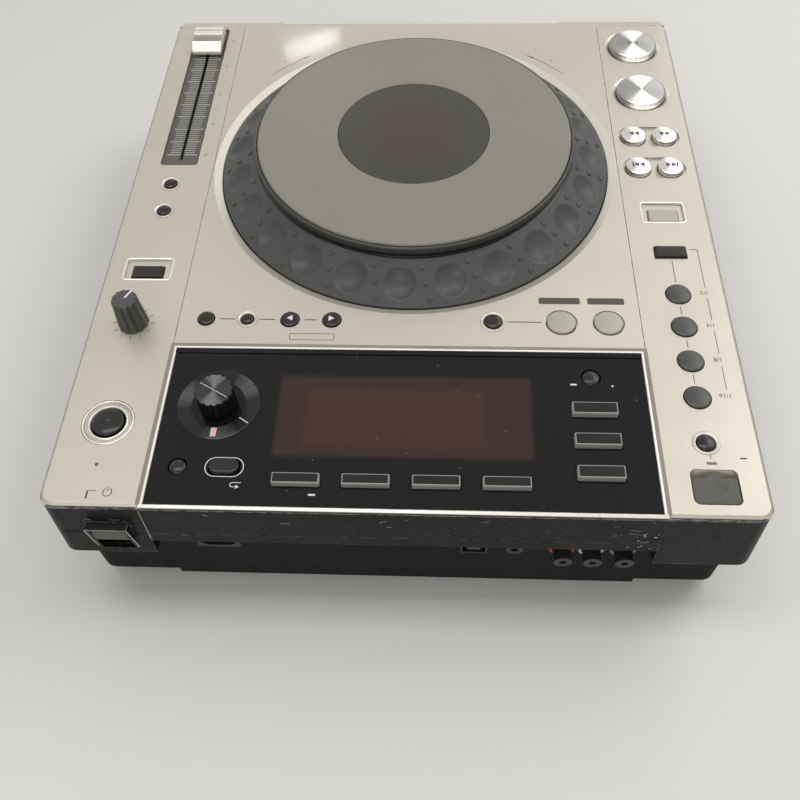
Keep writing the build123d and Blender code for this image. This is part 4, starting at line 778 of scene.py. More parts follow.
@dataclass
class Display:
    """The dark window, the trim and a grey strip of painted shade for the groove round it, and its printed marks.
    """

    trim: float = 1.1  # width of the bright trim
    trim_height: float = 0.34
    groove: float = 1.8  # width of the dull line outside it: painted shade for a groove
    side_gap: float = 0.3
    front_reach: float = 2.4  # the black field runs on that far in front of the pane
    rear_bevel: float = 1.0
    screen_shift: float = -6.0

    def build(self) -> None:
        """Dresses the pane and builds what is round and on it."""
        pane, plates = Spot("display_glass"), Spot("centre_panel")
        smoked = DisplayPane("smoked_pane", "#10110F", "#0D0E0D", roughness=0.1, spread=0.03, specular=0.2,
                             bump_mm=0.0, drift_mm=50.0, centre=(pane.x, pane.y + self.screen_shift))
        dress("display_glass", smoked)
        face, glass, half = plates.high.z, pane.high.z, pane.width / 2 + self.side_gap
        left, right, front, rear = pane.x - half, pane.x + half, pane.low.y - self.front_reach, plates.high.y
        rear -= self.rear_bevel
        route = [(left, rear), (left, front), (right, front), (right, rear)]
        top, out, reach = self.trim_height, -self.trim, self.front_reach + 0.12
        trim = above(face, (0.0, -0.6), (0.0, top - 0.12), (-0.15, top), (out + 0.25, top), (out, top - 0.2),
                     (out, -0.2))
        build_piece("display_trim", moulding(route, trim), BRIGHT_TRIM_AND_RAMP_HIGHLIGHT)
        # The groove is a flat grey strip at the face: painted shade, not a hollow.
        groove = above(face, (out, -0.2), (out, 0.04), (out - self.groove, 0.03), (out - self.groove, -0.2))
        build_piece("display_groove", moulding(route, groove), GROOVE_SHADE)
        bead = above(face, (-0.1, 0.01), (0.1, 0.12), (0.55, -0.25), (1.03, -0.72), (1.03, -1.0), (0.0, -0.6))
        build_piece("rear_bead", moulding([(-half - 1.7, rear), (half + 1.7, rear)], bead), BRIGHT_TRIM_AND_RAMP_HIGHLIGHT)
        border = [*above(face, (0.0, -0.3), (0.0, 0.03), (reach, 0.03)), (reach, glass - 0.2)]
        build_piece("pane_border", moulding([(left, front), (right, front)], border), smoked)
        self.build_marks(glass)

    @staticmethod
    def build_marks(top: float) -> None:
        """Prints the plain white marks on the pane."""
        back, mode, menu = key_spot("back"), key_spot("time_mode"), key_spot("menu")
        marks = stroke(bar(back.x, back.y, 16.5, 9.2, 4.6, 12)(0.0), 0.42, top, closed=True)
        turn_x, turn_y = back.x - 4.6, back.y + 8.4
        hook = [(turn_x - 3.6, turn_y - 1.0), *arc(turn_x, turn_y, 1.0, -90, 90, 8), (turn_x - 1.6, turn_y + 1.0)]
        marks.join(stroke(hook, 0.35, top), triangle(turn_x - 2.2, turn_y + 1.0, 1.6, -1, top))
        for x, y, width in ((mode.x + 8.0, mode.y + 4.0, 2.9), (mode.x - 9.2, mode.y + 4.6, 0.9),
                            (menu.x - 7.3, menu.y + 6.6, 3.0)):
            marks.join(plate(bar(x, y, width, 0.9, 0.2, 2)(0.0), top))
        build_piece("pane_marks", marks, WHITE_INK)


class Cap(Enum):
    """Shapes of the round keys."""

    SPUN = "flat spun disc with a bright edge"
    DOME = "low dome"


@dataclass
class RoundKey:
    """A round key cap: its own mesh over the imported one, with an optional bezel round its hole."""

    name: str
    finish: Finish
    dome: float = 0.7
    bezel: float = 0.0  # width of the bezel in the plate
    cap: Cap = Cap.DOME
    slack: float = 0.0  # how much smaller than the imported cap
    edge: float = 0.5
    gap: float = 0.35

    def build(self) -> None:
        """Builds the cap and its bezel."""
        spot = key_spot(self.name)
        radius = spot.width / 2 - FLANGE_LIP - self.slack
        top, foot = spot.high.z, spot.low.z + CAP_FOOT
        if self.cap is Cap.SPUN:
            profile = eased([(0.0, foot), (0.0, top - 1.1), (1.1, top - 0.15), (radius - 0.35, top),
                             (radius - 0.1, top - 0.1)], self.edge, 3)
        else:
            shoulder = top - self.dome
            profile = [(0.0, foot), (0.0, shoulder - 0.2), (0.03, shoulder)]
            for turn in (math.radians(angle) for angle in range(6, 90, 6)):
                profile.append((radius * (1 - math.cos(turn)), shoulder + self.dome * math.sin(turn)))
            profile.append((radius - 0.05, top))
        cap = stack(circle(spot.x, spot.y, radius), profile, Ends.BOTH)
        node = self.name + "_button"
        build_piece(self.name + "_cap", cap, self.finish, body=node, stands_for=node)
        if self.bezel:
            self.build_bezel(spot, radius + self.gap)

    def build_bezel(self, spot: Spot, inner: float) -> None:
        """Builds the bezel, hollow towards the key, and a fine grey ring round it: painted shade for a groove."""
        face, width = Spot("centre_panel").high.z, self.bezel
        profile = above(face, (0.0, -0.3), (0.0, 0.22), (0.12, 0.3), (0.3, 0.3), (0.45, 0.12),
                        (width * 0.7, -0.05), (width, -0.45), (width, -0.8))
        bezel = stack(circle(spot.x, spot.y, inner + width, 72), profile, Ends.RING)
        build_piece(self.name + "_bezel", bezel, BEZEL_SILVER)
        line = above(face, (0.0, -0.1), (0.0, 0.03), (0.3, 0.03), (0.3, -0.1))
        groove = stack(circle(spot.x, spot.y, inner + width + 0.28, 72), line, Ends.RING)
        build_piece(self.name + "_groove", groove, GROOVE_SHADE)


@dataclass
class BarKey:
    """A bar-shaped key cap with round corners and eased edges."""

    name: str
    finish: Finish
    corner: float = 0.8
    edge: float = 0.6
    inlay: Finish | None = None  # a darker field on its top
    inlay_border: float = 0.7
    slope: float = 0.3

    def build(self) -> None:
        """Builds the cap and the field on its top."""
        node, spot = self.name + "_button", key_spot(self.name)
        width, length = spot.width - 2 * FLANGE_LIP, spot.length - 2 * FLANGE_LIP
        top, foot = spot.high.z, spot.low.z + CAP_FOOT
        profile = eased([(0.0, foot), (0.05, top - 1.2), (self.slope, top), (length / 2 - 0.1, top)], self.edge)
        cap = stack(bar(spot.x, spot.y, width, length, self.corner), profile, Ends.BOTH)
        build_piece(self.name + "_cap", cap, self.finish, body=node, stands_for=node)
        if self.inlay is not None:
            rim = 2 * self.inlay_border
            outline = bar(spot.x, spot.y, width - rim, length - rim, self.corner / 2, 3)
            shape = stack(outline, eased(above(top, (0.0, -0.2), (0.0, 0.05), (0.4, 0.05)), 0.04, 2))
            build_piece(self.name + "_field", shape, self.inlay, body=node)


@dataclass
class Keys:
    """All sprung keys, with the marks that move with them."""

    rounds: tuple[tuple[str, Finish, float, float], ...] = (
        ("search_back search_forward track_back track_forward", DOME_CHROME_PAINTED_HIGHLIGHT, 0.9, 0.0),
        ("loop_in loop_out", BEIGE_KEY, 1.2, 0.0),
        ("usb_stop reloop delete", BLACK_KEY, 1.1, 1.25),
        ("master_tempo tempo_range", BLACK_KEY, 1.1, 1.15),
        ("call_back call_forward memory", BLACK_KEY, 0.9, 0.0),
        ("beat_loop_1 beat_loop_2 beat_loop_3 beat_loop_4", DARK_KEY, 0.9, 0.0),
        ("time_mode tag_track", BLACK_KEY, 1.5, 0.0),
    )  # names, finish, height of the dome and width of the bezel
    bars: tuple[tuple[str, Finish, float, float, Finish | None], ...] = (
        ("direction", BEIGE_KEY, 1.0, 0.6, None), ("beat_select", BLACK_KEY, 0.8, 0.6, None),
        ("jog_mode", BLACK_KEY, 0.8, 0.8, None), ("back", BLACK_KEY, 3.6, 1.0, None),
        ("menu info tag_list browse source_disc source_usb source_pc", GREY_KEY, 0.6, 0.3, KEY_FIELD),
    )  # names, finish, corner, edge and inlay
    rim: float = 1.9  # width of the countersink round a large key
    rim_depth: float = 1.0

    def build(self) -> None:
        """Builds every key."""
        for name in ("play", "cue"):
            RoundKey(name, SPUN_CHROME_PAINTED_HIGHLIGHT, cap=Cap.SPUN).build()
            self.paint_rim_highlight(name)
        RoundKey("eject", BLACK_KEY, 1.3, slack=0.45).build()
        for names, *settings in self.rounds:
            for name in names.split():
                RoundKey(name, *settings).build()
        for names, *settings in self.bars:
            for name in names.split():
                BarKey(name, *settings).build()
        self.print_marks()

    def paint_rim_highlight(self, name: str) -> None:
        """Lines the countersink round a large key with a thin skin of brighter bezel silver: the countersink is
        real, its brightness partly a painted highlight.
        """
        spot, rim, floor = key_spot(name), self.rim, -self.rim_depth
        profile = above(Spot("centre_panel").high.z, (0.0, -0.05), (0.0, 0.06), (0.1, 0.06), (rim, floor + 0.06),
                        (rim, floor - 0.2), (rim - 0.2, floor - 0.2))
        outline = circle(spot.x, spot.y, spot.width / 2 - FLANGE_LIP + 0.35 + rim, 96)
        build_piece(name + "_rim", stack(outline, profile, Ends.RING), BEZEL_SILVER)

    @staticmethod
    def print_marks() -> None:
        """Prints the plain triangles and bars on the caps."""
        spot = key_spot("play")
        low = spot.high.z - SUNK
        bars = [plate(bar(spot.x + x, spot.y, 0.45, 1.9, 0.05, 1)(0.0), low) for x in (-1.9, -2.9)]
        sign = triangle(spot.x + 2.4, spot.y, 1.7, -1, low).join(*bars)
        build_piece("play_mark", sign, DARK_INK, body="play_button")
        for way, side in (("back", -1), ("forward", 1)):
            for kind in ("search", "track", "call"):
                name = f"{kind}_{way}"
                spot = key_spot(name)
                low = spot.high.z - SUNK
                if kind == "call":
                    sign, ink = triangle(spot.x, spot.y, 2.8, side, low), WHITE_INK
                else:
                    pair = (triangle(spot.x + step * side * 1.4, spot.y, 2.6, side, low) for step in (-1, 1))
                    sign, ink = Shape().join(*pair), DARK_INK
                if kind == "track":
                    sign.join(plate(bar(spot.x + side * 3.2, spot.y, 0.7, 3.1, 0.1, 1)(0.0), low))
                build_piece(name + "_mark", sign, ink, body=name + "_button")


@dataclass
class JogWheel:
    """The dimpled wheel, its touch plate and the smoked window in the middle."""

    foot_radius: float = 103.9
    shoulder_radius: float = 84.2
    foot_height: float = 85.2
    shoulder_height: float = 98.0
    lip_height: float = 104.9
    skirt: float = 2.4
    dimples: int = 24
    phase: float = 12.5  # angle of the first dimple, in degrees
    dimple_width: float = 16.4
    dimple_depth: float = 2.7
    dimple_ease: float = 0.05
    steps: int = 40  # points round the wheel for each dimple
    rows: int = 38
    stud_radius: float = 1.35
    stud_rise: float = 0.55
    stud_along: tuple[float, ...] = (-7.6, 0.0, 7.6)
    stud_skew: float = 2.2
    stud_sides: int = 16

    def __post_init__(self) -> None:
        """Works out the slope of the cone."""
        wheel = Spot("jog_wheel")
        self.x, self.y = wheel.x, wheel.y
        run, rise = self.foot_radius - self.shoulder_radius, self.shoulder_height - self.foot_height
        self.slope = math.hypot(run, rise)
        self.along = Vector((-run, rise)) / self.slope
        self.out = Vector((rise, run)) / self.slope
        self.middle = Vector((self.foot_radius + self.shoulder_radius, self.foot_height + self.shoulder_height)) / 2

    def on_cone(self, along: float, turn: float, out: float = 0.0) -> Place:
        """A point that far up the slope from its middle, and out from it.

        Args:
            along: millimetres up the slope from the middle.
            turn: angle round the wheel, in radians.
            out: millimetres out of the surface.

        Returns:
            The point.
        """
        place = self.middle + self.along * along + self.out * out
        return (*around(self.x, self.y, place.x, turn), place.y)

    def hollow(self, along: float, across: float) -> float:
        """Depth of a dimple at a place measured from its middle."""
        ball = (self.dimple_width**2 / 4 + self.dimple_depth**2) / (2 * self.dimple_depth)
        away, ease = math.hypot(along, across), self.dimple_ease
        if away >= ball:
            return 0.0
        depth = math.sqrt(ball**2 - away**2) - (ball - self.dimple_depth)
        return 0.5 * (depth + math.sqrt(depth**2 + ease**2)) - 0.5 * ease if depth > -1.5 else 0.0

    def build(self) -> None:
        """Builds the wheel, its rim, studs, plate and window."""
        self.build_cone()
        self.build_studs()
        self.build_rim()
        self.build_plate()

    def build_cone(self) -> None:
        """Builds the cone with its dimples and the skirt below it."""
        count, pitch = self.dimples * self.steps, math.tau / self.dimples
        turns = [math.tau * step / count for step in range(count)]
        foot = self.foot_height - self.skirt
        points = [(*around(self.x, self.y, self.foot_radius, turn), foot) for turn in turns]
        for row in range(self.rows + 1):
            along = (row / self.rows - 0.5) * self.slope
            for turn in turns:
                offset = (turn - math.radians(self.phase) + pitch / 2) % pitch - pitch / 2
                across = offset * (self.middle.x + self.along.x * along)
                points.append(self.on_cone(along, turn, -self.hollow(along, across)))
        piece = build_piece("jog_cone", Shape(points, weave(self.rows + 2, count)), WHEEL_ABS,
                            "jog_wheel", "jog_wheel")
        piece.data.set_sharp_from_angle(angle=math.radians(50))

    def build_studs(self) -> None:
        """Builds three small studs in each gap between dimples."""
        shape, sides = Shape(), self.stud_sides
        levels = ((1.0, -0.2), (1.0, 0.6), (0.85, 0.92), (0.5, 1.0))
        faces = [tuple(reversed(face)) for face in weave(len(levels), sides)]
        faces.append(tuple(reversed(range((len(levels) - 1) * sides, len(levels) * sides))))
        for gap in range(self.dimples):
            middle = math.radians(self.phase + (gap + 0.5) * 360 / self.dimples)
            for place, along in enumerate(self.stud_along):
                turn = middle + math.radians(self.stud_skew * (place - 1) * -0.5)
                centre = Vector(self.on_cone(along, turn))
                out = (Vector(self.on_cone(along, turn, 1.0)) - centre).normalized()
                up = (Vector(self.on_cone(along + 1.0, turn)) - centre).normalized()
                side_way = out.cross(up)
                points = []
                for share, lift in levels:
                    reach = self.stud_radius * share
                    for angle in (math.tau * step / sides for step in range(sides)):
                        points.append(tuple(centre - side_way * reach * math.cos(angle)
                                            + up * reach * math.sin(angle) + out * self.stud_rise * lift))
                shape.join(Shape(points, faces))
        build_piece("jog_studs", shape, WHEEL_ABS, "jog_wheel")

    def build_rim(self) -> None:
        """Builds the black wall round the touch plate and the collar on top of it."""
        outline = circle(self.x, self.y, self.shoulder_radius, 240)
        low, high = self.shoulder_height, self.lip_height
        wall = eased([*above(low, (-0.6, -0.6), (0.2, 0.0), (1.3, 0.3), (0.9, 1.4), (0.0, 2.6), (-0.05, 3.9)),
                      (0.35, high - 2.3)], 0.5)
        build_piece("jog_rim", stack(outline, wall, Ends.OPEN), RIM_ABS, "jog_wheel")
        collar = eased(above(high, (0.35, -2.3), (0.1, -1.2), (0.5, -0.2), (1.2, 0.0), (1.5, -0.5), (1.6, -3.5)),
                       0.35)
        collar.append((self.shoulder_radius - 44.1, high - 3.5))
        build_piece("jog_collar", stack(outline, collar, Ends.OPEN), COLLAR_ABS, "jog_wheel")

    def build_plate(self) -> None:
        """Builds the touch plate with its rubbed edge, and the window in it."""
        spot, window = Spot("jog_plate"), Spot("jog_window")
        radius, top = spot.width / 2, spot.high.z
        outline, hole = circle(self.x, self.y, radius, 240), window.width / 2 + 0.1
        inner = radius - hole
        face = eased(above(top, (0.55, -0.12), (0.75, 0.0), (inner - 0.3, 0.0), (inner, -0.35), (inner, -1.8)),
                     0.2, 3)
        build_piece("touch_plate", stack(outline, face, Ends.OPEN), PLATE_PAINT, "jog_plate",
                    "jog_plate")
        edge = eased([(2.0, spot.low.z), (0.0, spot.low.z), *above(top, (0.0, -0.55), (0.55, -0.12))], 0.2, 3)
        build_piece("touch_plate_edge", stack(outline, edge, Ends.OPEN), PLATE_EDGE, "jog_plate")
        smoked = SmokedDisc("smoked_disc", "#45443F", "#403F3A", roughness=0.14, spread=0.04, specular=0.3,
                            bump_mm=0.0, centre=(self.x, self.y))
        disc = eased([(0.0, window.low.z), *above(top, (0.0, -0.75), (0.4, -0.35), (hole - 0.5, -0.35))], 0.2, 3)
        build_piece("smoked_window", stack(circle(self.x, self.y, window.width / 2, 160), disc, Ends.BOTH), smoked,
                    "jog_plate", "jog_window")


@dataclass
class Selector:
    """The lobed selector knob and the spun ring round it."""

    lobes: int = 16
    ring_inner: float = 12.0
    ring_outer: float = 18.5
    tick_turn: float = 146.0
    lamp_turn: float = 90.0

    def build(self) -> None:
        """Builds knob, pointer line and ring."""
        knob, face = Spot("selector_knob"), Spot("display_glass").high.z
        radius, low, top = knob.width / 2, knob.low.z, knob.high.z
        profile = eased([(0.3, low), (0.0, low + 0.8), (0.0, top - 0.6), (0.5, top), (radius - 0.8, top)], 0.3, 3)
        grip = stack(lobed(knob.x, knob.y, radius, self.lobes, 0.6), profile, Ends.BOTH)
        build_piece("selector_grip", grip, GRIP_ABS, "selector_knob", "selector_knob")
        disc = stack(lobed(knob.x, knob.y, radius - 0.45, self.lobes, 0.55),
                     eased(above(top, (0.0, -0.3), (0.0, 0.03), (0.2, 0.06), (1.4, 0.06)), 0.05, 2))
        build_piece("selector_disc", disc, SPUN_BLACK_PAINTED_HIGHLIGHT, "selector_knob")
        x, y = radius * 0.74, radius * 0.43
        line = stroke([(knob.x - x, knob.y + y), (knob.x + x, knob.y - y)], 0.28, top + 0.05)
        build_piece("selector_line", line, WHITE_INK, body="selector_knob")
        width = self.ring_outer - self.ring_inner
        profile = above(face, (0.0, -0.05), (0.0, 0.35), (0.5, 0.55), (width, 0.25), (width, -0.05))
        ring = stack(circle(knob.x, knob.y, self.ring_outer, 96), eased(profile, 0.15, 3), Ends.RING)
        build_piece("selector_ring", ring, SPUN_RING_PAINTED_HIGHLIGHT)
        inner, outer = self.ring_inner + 0.6, self.ring_outer - 0.9

        def spoke(reach: float, turn: float) -> Point:
            """A point round the knob, at an angle in degrees."""
            return around(knob.x, knob.y, reach, math.radians(turn))

        tick = stroke([spoke(inner, self.tick_turn), spoke(outer + 0.1, self.tick_turn)], 0.45, face + 0.5)
        build_piece("selector_tick", tick, WHITE_INK)
        turns = ((inner, -6), (outer, -4), (outer, 4), (inner, 6))
        lamp = plate([spoke(reach, self.lamp_turn + turn) for reach, turn in turns], face + 0.46)
        build_piece("selector_lamp", lamp, PINK_LENS)


@dataclass
class SpeedKnob:
    """The tall fluted knob with its pointer, and the scale printed round it."""

    flutes: int = 12
    lean: float = 1.2  # how much narrower it is at the top
    pointer_turn: float = -28.0
    skirt: float = 1.6
    scale_marks: int = 11

    def build(self) -> None:
        """Builds knob, pointer and scale."""
        knob = Spot("speed_knob")
        x, y, radius, low, high, lean = knob.x, knob.y, knob.width / 2, knob.low.z, knob.high.z, self.lean
        profile = [(0.0, low), (0.05, low + self.skirt), *above(high, (lean, -0.5), (lean + 0.4, 0.0),
                                                                (lean + 0.7, 0.0))]
        body = stack(lobed(x, y, radius, self.flutes, 0.7, 2.0), eased(profile, 0.25, 3), Ends.BOTH)
        build_piece("speed_grip", body, KNOB_ABS, "speed_knob", "speed_knob")
        cap = stack(circle(x, y, radius - lean - 0.75, 48),
                    eased(above(high, (0.0, -0.2), (0.05, 0.08), (0.4, 0.1)), 0.1, 2))
        build_piece("speed_cap", cap, KNOB_ABS, "speed_knob")
        turn = math.radians(self.pointer_turn - 90)
        ends = [around(x, y, reach, turn) for reach in (0.6, radius - lean - 0.3)]
        build_piece("speed_pointer", stroke(ends, 0.9, high + 0.09), WHITE_INK, "speed_knob")
        face, marks = Spot("right_strip").high.z, Shape()
        for angle in (math.radians(-60 + number * 30) for number in range(self.scale_marks)):
            marks.join(stroke([around(x, y, radius + reach, angle) for reach in (0.9, 2.7)], 0.3, face))
        build_piece("speed_scale", marks, DARK_INK)


@dataclass
class Fader:
    """The fader cap, and the ticks on the recessed scale plate."""

    groups: int = 10
    short: int = 5
    foot_above: float = 4.4  # front edge of the cap above the strip
    crown_above: float = 7.0
    scoop: float = 1.0  # depth of the finger hollow
    grooves: tuple[tuple[int, int], ...] = ((9, 15), (5, 6))  # runs of the profile that are grooves, where painted shade is laid

    def build(self) -> None:
        """Builds cap and ticks."""
        cap, face = Spot("tempo_fader"), Spot("right_strip").high.z
        front, rear, low, crown = cap.low.y, cap.high.y, face + 0.5, face + self.crown_above
        side = [(front, low), (front, face + self.foot_above)]
        side += [(front + y, crown + z) for y, z in ((1.6, -1.0), (3.0, -0.3), (5.6, 0.0), (5.9, -1.1), (6.8, -1.1),
                                                     (7.1, 0.0), (9.3, -0.3))]
        side += [(front + 9.9 + 6.3 * share, crown - 1.1 - self.scoop * math.sin(math.pi * share))
                 for share in (0.0, 0.15, 0.3, 0.5, 0.7, 0.85, 1.0)]
        side += [(front + 16.8, crown - 0.8), (rear - 0.4, face + 2.9), (rear, face + 2.3), (rear, low)]
        count = len(side)
        shape = Shape([(x, y, z) for x in (cap.low.x, cap.high.x) for y, z in side], weave(2, count))
        shape.faces += [tuple(reversed(range(count))), tuple(range(count, 2 * count))]
        build_piece("fader_cap", shape, CAP_SILVER, "tempo_fader", "tempo_fader", bevel=0.14)
        # A darker skin in the grooves of the cap: painted shade.
        groove = Shape()
        for first, last in self.grooves:
            run = side[first : last + 1]
            skin = [(y, z + 0.03) for y, z in run] + [(y, z - 0.1) for y, z in reversed(run)]
            groove.join(moulding([(cap.low.x + 0.1, 0.0), (cap.high.x - 0.1, 0.0)], skin))
        build_piece("fader_groove_shade", groove, CAP_GROOVE_SHADE, "tempo_fader")
        stem = stack(bar(cap.x, cap.y, 0.8, 6.0, 0.3, 2), [(0.0, low - 12.0), (0.0, low + 0.5)])
        build_piece("fader_lever", stem, STEEL, "tempo_fader")
        self.build_ticks()

    def build_ticks(self) -> None:
        """Prints the ticks: a long one, then short ones, on both sides of the slot."""
        scale, ticks = Spot("fader_plate"), Shape()
        first, last = scale.low.y + 7.0, scale.high.y - 10.0
        total = self.groups * (self.short + 1)
        for number in range(total + 1):
            y = first + (last - first) * number / total
            reach, width = (6.8, 0.28) if number % (self.short + 1) else (8.3, 0.42)
            for side in (-1, 1):
                ticks.join(stroke([(scale.x + side * 1.1, y), (scale.x + side * reach, y)], width, scale.high.z))
        build_piece("fader_ticks", ticks, TICK_INK)


@dataclass
class EjectCup:
    """The stepped cup round the eject key and the standby lamp behind it."""

    cup_depth: float = 1.2
    ridges: tuple[tuple[str, float, float, float, Finish], ...] = (
        ("outer", 11.7, 1.2, 1.35, BEZEL_SILVER), ("middle", 10.5, 0.9, 0.5, SILVER),
        ("inner", 9.0, 1.3, 1.0, BEZEL_SILVER),
    )  # name, radius, width, height above the cup's floor and finish
    lamp_behind: float = 21.5

    def build(self) -> None:
        """Builds the three ridges, the lamp and the plain mark on the key."""
        key, face = key_spot("eject"), Spot("right_strip").high.z
        floor = face - self.cup_depth
        for name, outer, width, crest, finish in self.ridges:
            profile = above(floor, (0.0, -0.2), (0.0, crest - 0.35), (width * 0.35, crest), (width * 0.6, crest),
                            (width, crest - 0.7), (width, -0.2))
            ridge = stack(circle(key.x, key.y, outer, 96), eased(profile, 0.25), Ends.RING)
            build_piece(f"eject_{name}_ridge", ridge, finish)
        lamp = stack(circle(key.x, key.y + self.lamp_behind, 0.85, 24),
                     eased(above(face, (0.0, -0.5), (0.0, 0.1), (0.7, 0.25)), 0.2, 2))
        build_piece("standby_lamp", lamp, RED_LENS)
        mark = triangle(key.x - 0.4, key.y, 1.6, 1, key.high.z)
        build_piece("eject_mark", mark, LABEL_INK, body="eject_button")


@dataclass
class StickBay:
    """The lamp bar in front of the memory-stick bay, its printed marks and a painted highlight on its ramp."""

    lamp_before: float = 6.3  # from the free edge of the lid
    lamp_width: float = 4.4
    lamp_length: float = 1.3
    half_width: float = 9.6  # of the ramp
    half_lobe: float = 5.9  # of the lobe by which the lid is lifted
    ramp_length: float = 3.4
    ramp_drop: float = 3.1
    lobe_length: float = 1.9

    def build(self) -> None:
        """Builds lamp bar, tick and dash."""
        lid, face = Spot("usb_lid"), Spot("left_strip").high.z
        y = lid.low.y + self.lobe_length - self.lamp_before
        lamp = stack(bar(lid.x, y, self.lamp_width, self.lamp_length, 0.5, 4),
                     eased(above(face, (0.0, -0.4), (0.0, 0.03), (0.12, 0.1), (0.55, 0.1)), 0.05, 2))
        build_piece("stick_lamp", lamp, LAMP_LENS)
        marks = stroke([(lid.x, y - 3.9), (lid.x, y - 2.1)], 0.3, face)
        marks.join(plate(bar(lid.x - 13.6, y - 2.6, 2.8, 0.7, 0.1, 1)(0.0), face))
        build_piece("stick_marks", marks, DARK_INK)
        self.build_ramp_highlight(lid, face)

    def build_ramp_highlight(self, lid: Spot, face: float) -> None:
        """Lays a bright skin on the silver finger ramp in front of the lid, clear of the lid's lobe: a painted
        highlight.
        """
        half, lobe, foot = self.half_width, self.half_lobe, self.ramp_length - 1.0
        slope, clear = self.ramp_drop / foot, self.ramp_length - self.lobe_length - 0.2
        start, skin = lid.low.y + self.lobe_length - self.ramp_length - 0.05, Shape()
        for left, right, near, far in ((-half, half, 0.0, clear), (-half, -lobe, clear, foot),
                                       (lobe, half, clear, foot)):
            upper, lower = (face - 0.45 - slope * place for place in (near, far))
            profile = [(near, upper - 0.1), (near, upper), (far, lower), (far, lower - 0.1)]
            skin.join(moulding([(lid.x + left, start), (lid.x + right, start)], profile))
        build_piece("stick_ramp_highlight", skin, BRIGHT_TRIM_AND_RAMP_HIGHLIGHT)


@dataclass
class Marks:
    """Plain printed lines, arcs, labels and fractions on the silver plates."""

    arc_radius: float = 114.6
    dot_radius: float = 119.6
    arcs: tuple[tuple[float, float, float], ...] = ((-41.0, -55.2, 0.6), (-138.8, -125.0, 0.0))
    power_sign: Point = (123.0, 162.4)
    labels: tuple[tuple[str, float], ...] = (("loop_in", 17.4), ("loop_out", 19.6))
    fractions: tuple[str, ...] = ("1/2", "1/4", "1/8", "1/16")

    def build(self) -> None:
        """Prints the marks."""
        face = Spot("centre_panel").high.z
        marks = Shape()
        for print_some in (self.wheel_arcs, self.loop_lines, self.beat_lines, self.power_marks, self.fader_dots):
            marks.join(print_some(face))
        build_piece("panel_marks", marks, DARK_INK)
        labels = Shape()
        for name, width in self.labels:
            key = key_spot(name)
            labels.join(plate(bar(key.x + 0.2, key.y - 13.2, width, 3.9, 0.9, 4)(0.0), face))
        build_piece("loop_labels", labels, LABEL_INK)
        for number, text in enumerate(self.fractions, start=1):
            self.print_fraction(number, text, face)

    def wheel_arcs(self, face: float) -> Shape:
        """Two arcs beside the wheel, each with a slim arrowhead and a dot."""
        wheel, marks = Spot("jog_wheel"), Shape()
        for start, end, shift in self.arcs:
            route = arc(wheel.x, wheel.y, self.arc_radius, start, end)
            tip, way = Vector(route[-1]), (Vector(route[-1]) - Vector(route[-3])).normalized()
            back, side = tip - way * 4.2, Vector((-way.y, way.x)) * 0.55
            head = plate([tuple(tip + way * 0.6), tuple(back + side), tuple(back - side)], face)
            middle = math.radians((start + end) / 2 + shift)
            dot = plate(circle(*around(wheel.x, wheel.y, self.dot_radius, middle), 0.5, 12)(0.0), face)
            marks.join(stroke(route, 0.32, face), head, dot)
        return marks

    @staticmethod
    def loop_lines(face: float) -> Shape:
        """Short lines that join the keys of the loop row, and the outlined label behind the call keys."""
        names = ("loop_out", "reloop", "call_back", "call_forward", "delete", "memory")
        row = [key_spot(name) for name in names]
        label = bar(row[2].x + 8.6, row[2].y + 10.2, 21.0, 3.7, 0.6, 3)
        marks = stroke(label(0.0), 0.28, face, closed=True)
        for left, right in ((row[0], row[1]), *zip(row[2:], row[3:])):
            marks.join(stroke([(left.high.x + 1.8, left.y), (right.low.x - 1.8, left.y)], 0.5, face))
        return marks

    @staticmethod
    def beat_lines(face: float) -> Shape:
        """Short lines between the beat keys, and the bracket beside them."""
        spots = [key_spot("beat_select"), *(key_spot(f"beat_loop_{number}") for number in range(1, 5))]
        first, beside = spots[0], spots[0].x - 13.4
        level = first.y - 2.2
        marks = stroke([(first.low.x - 0.6, level), (beside, level), (beside, spots[1].y - 4.4)], 0.3, face)
        for before, after in zip(spots, spots[1:]):
            marks.join(stroke([(before.x, before.high.y + 0.9), (before.x, after.low.y - 0.9)], 0.35, face))
            if before is not first:
                marks.join(stroke([(beside, before.y + 2.4), (beside, after.y - 4.4)], 0.3, face))
        return marks

    def power_marks(self, face: float) -> Shape:
        """The power sign and the step that shows the button's two depths."""
        x, y = self.power_sign
        return stroke(arc(x, y, 1.9, -60, 240, 20), 0.35, face).join(
            stroke([(x, y - 0.4), (x, y - 2.5)], 0.35, face),
            stroke([(x + 4.6, y - 0.6), (x + 8.3, y - 0.6)], 0.2, face),
            stroke([(x + 8.5, y - 0.6), (x + 8.5, y + 3.2)], 0.75, face),
        )

    @staticmethod
    def fader_dots(face: float) -> Shape:
        """Dots and small rings beside the fader."""
        scale, marks = Spot("fader_plate"), Shape()
        x = scale.low.x - 3.6
        for number in range(33):
            y = scale.low.y + 12.0 + number * 3.3
            if number % 8:
                marks.join(plate(circle(x, y, 0.22, 8)(0.0), face))
            else:
                marks.join(stroke(circle(x, y, 0.75, 16)(0.0), 0.2, face, closed=True))
        return marks

    @staticmethod
    def print_fraction(number: int, text: str, face: float) -> None:
        """Prints a plain fraction beside a beat key."""
        spot, name = key_spot(f"beat_loop_{number}"), f"fraction_{number}"
        letters = bpy.data.curves.new(name, "FONT")
        letters.body = text
        letters.size = 3.2 * MM
        letters.extrude = INK * MM / 2
        letters.align_x, letters.align_y = "CENTER", "CENTER"
        piece = bpy.data.objects.new(name, letters)
        piece.location = ((spot.x - 12.4) * MM, (spot.y - 1.2) * MM, (face + INK / 2) * MM)
        bpy.context.scene.collection.objects.link(piece)
        letters.materials.append(DARK_INK.material())
        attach(piece, "root")
        log.info("%s on root, %s", name, DARK_INK.name)


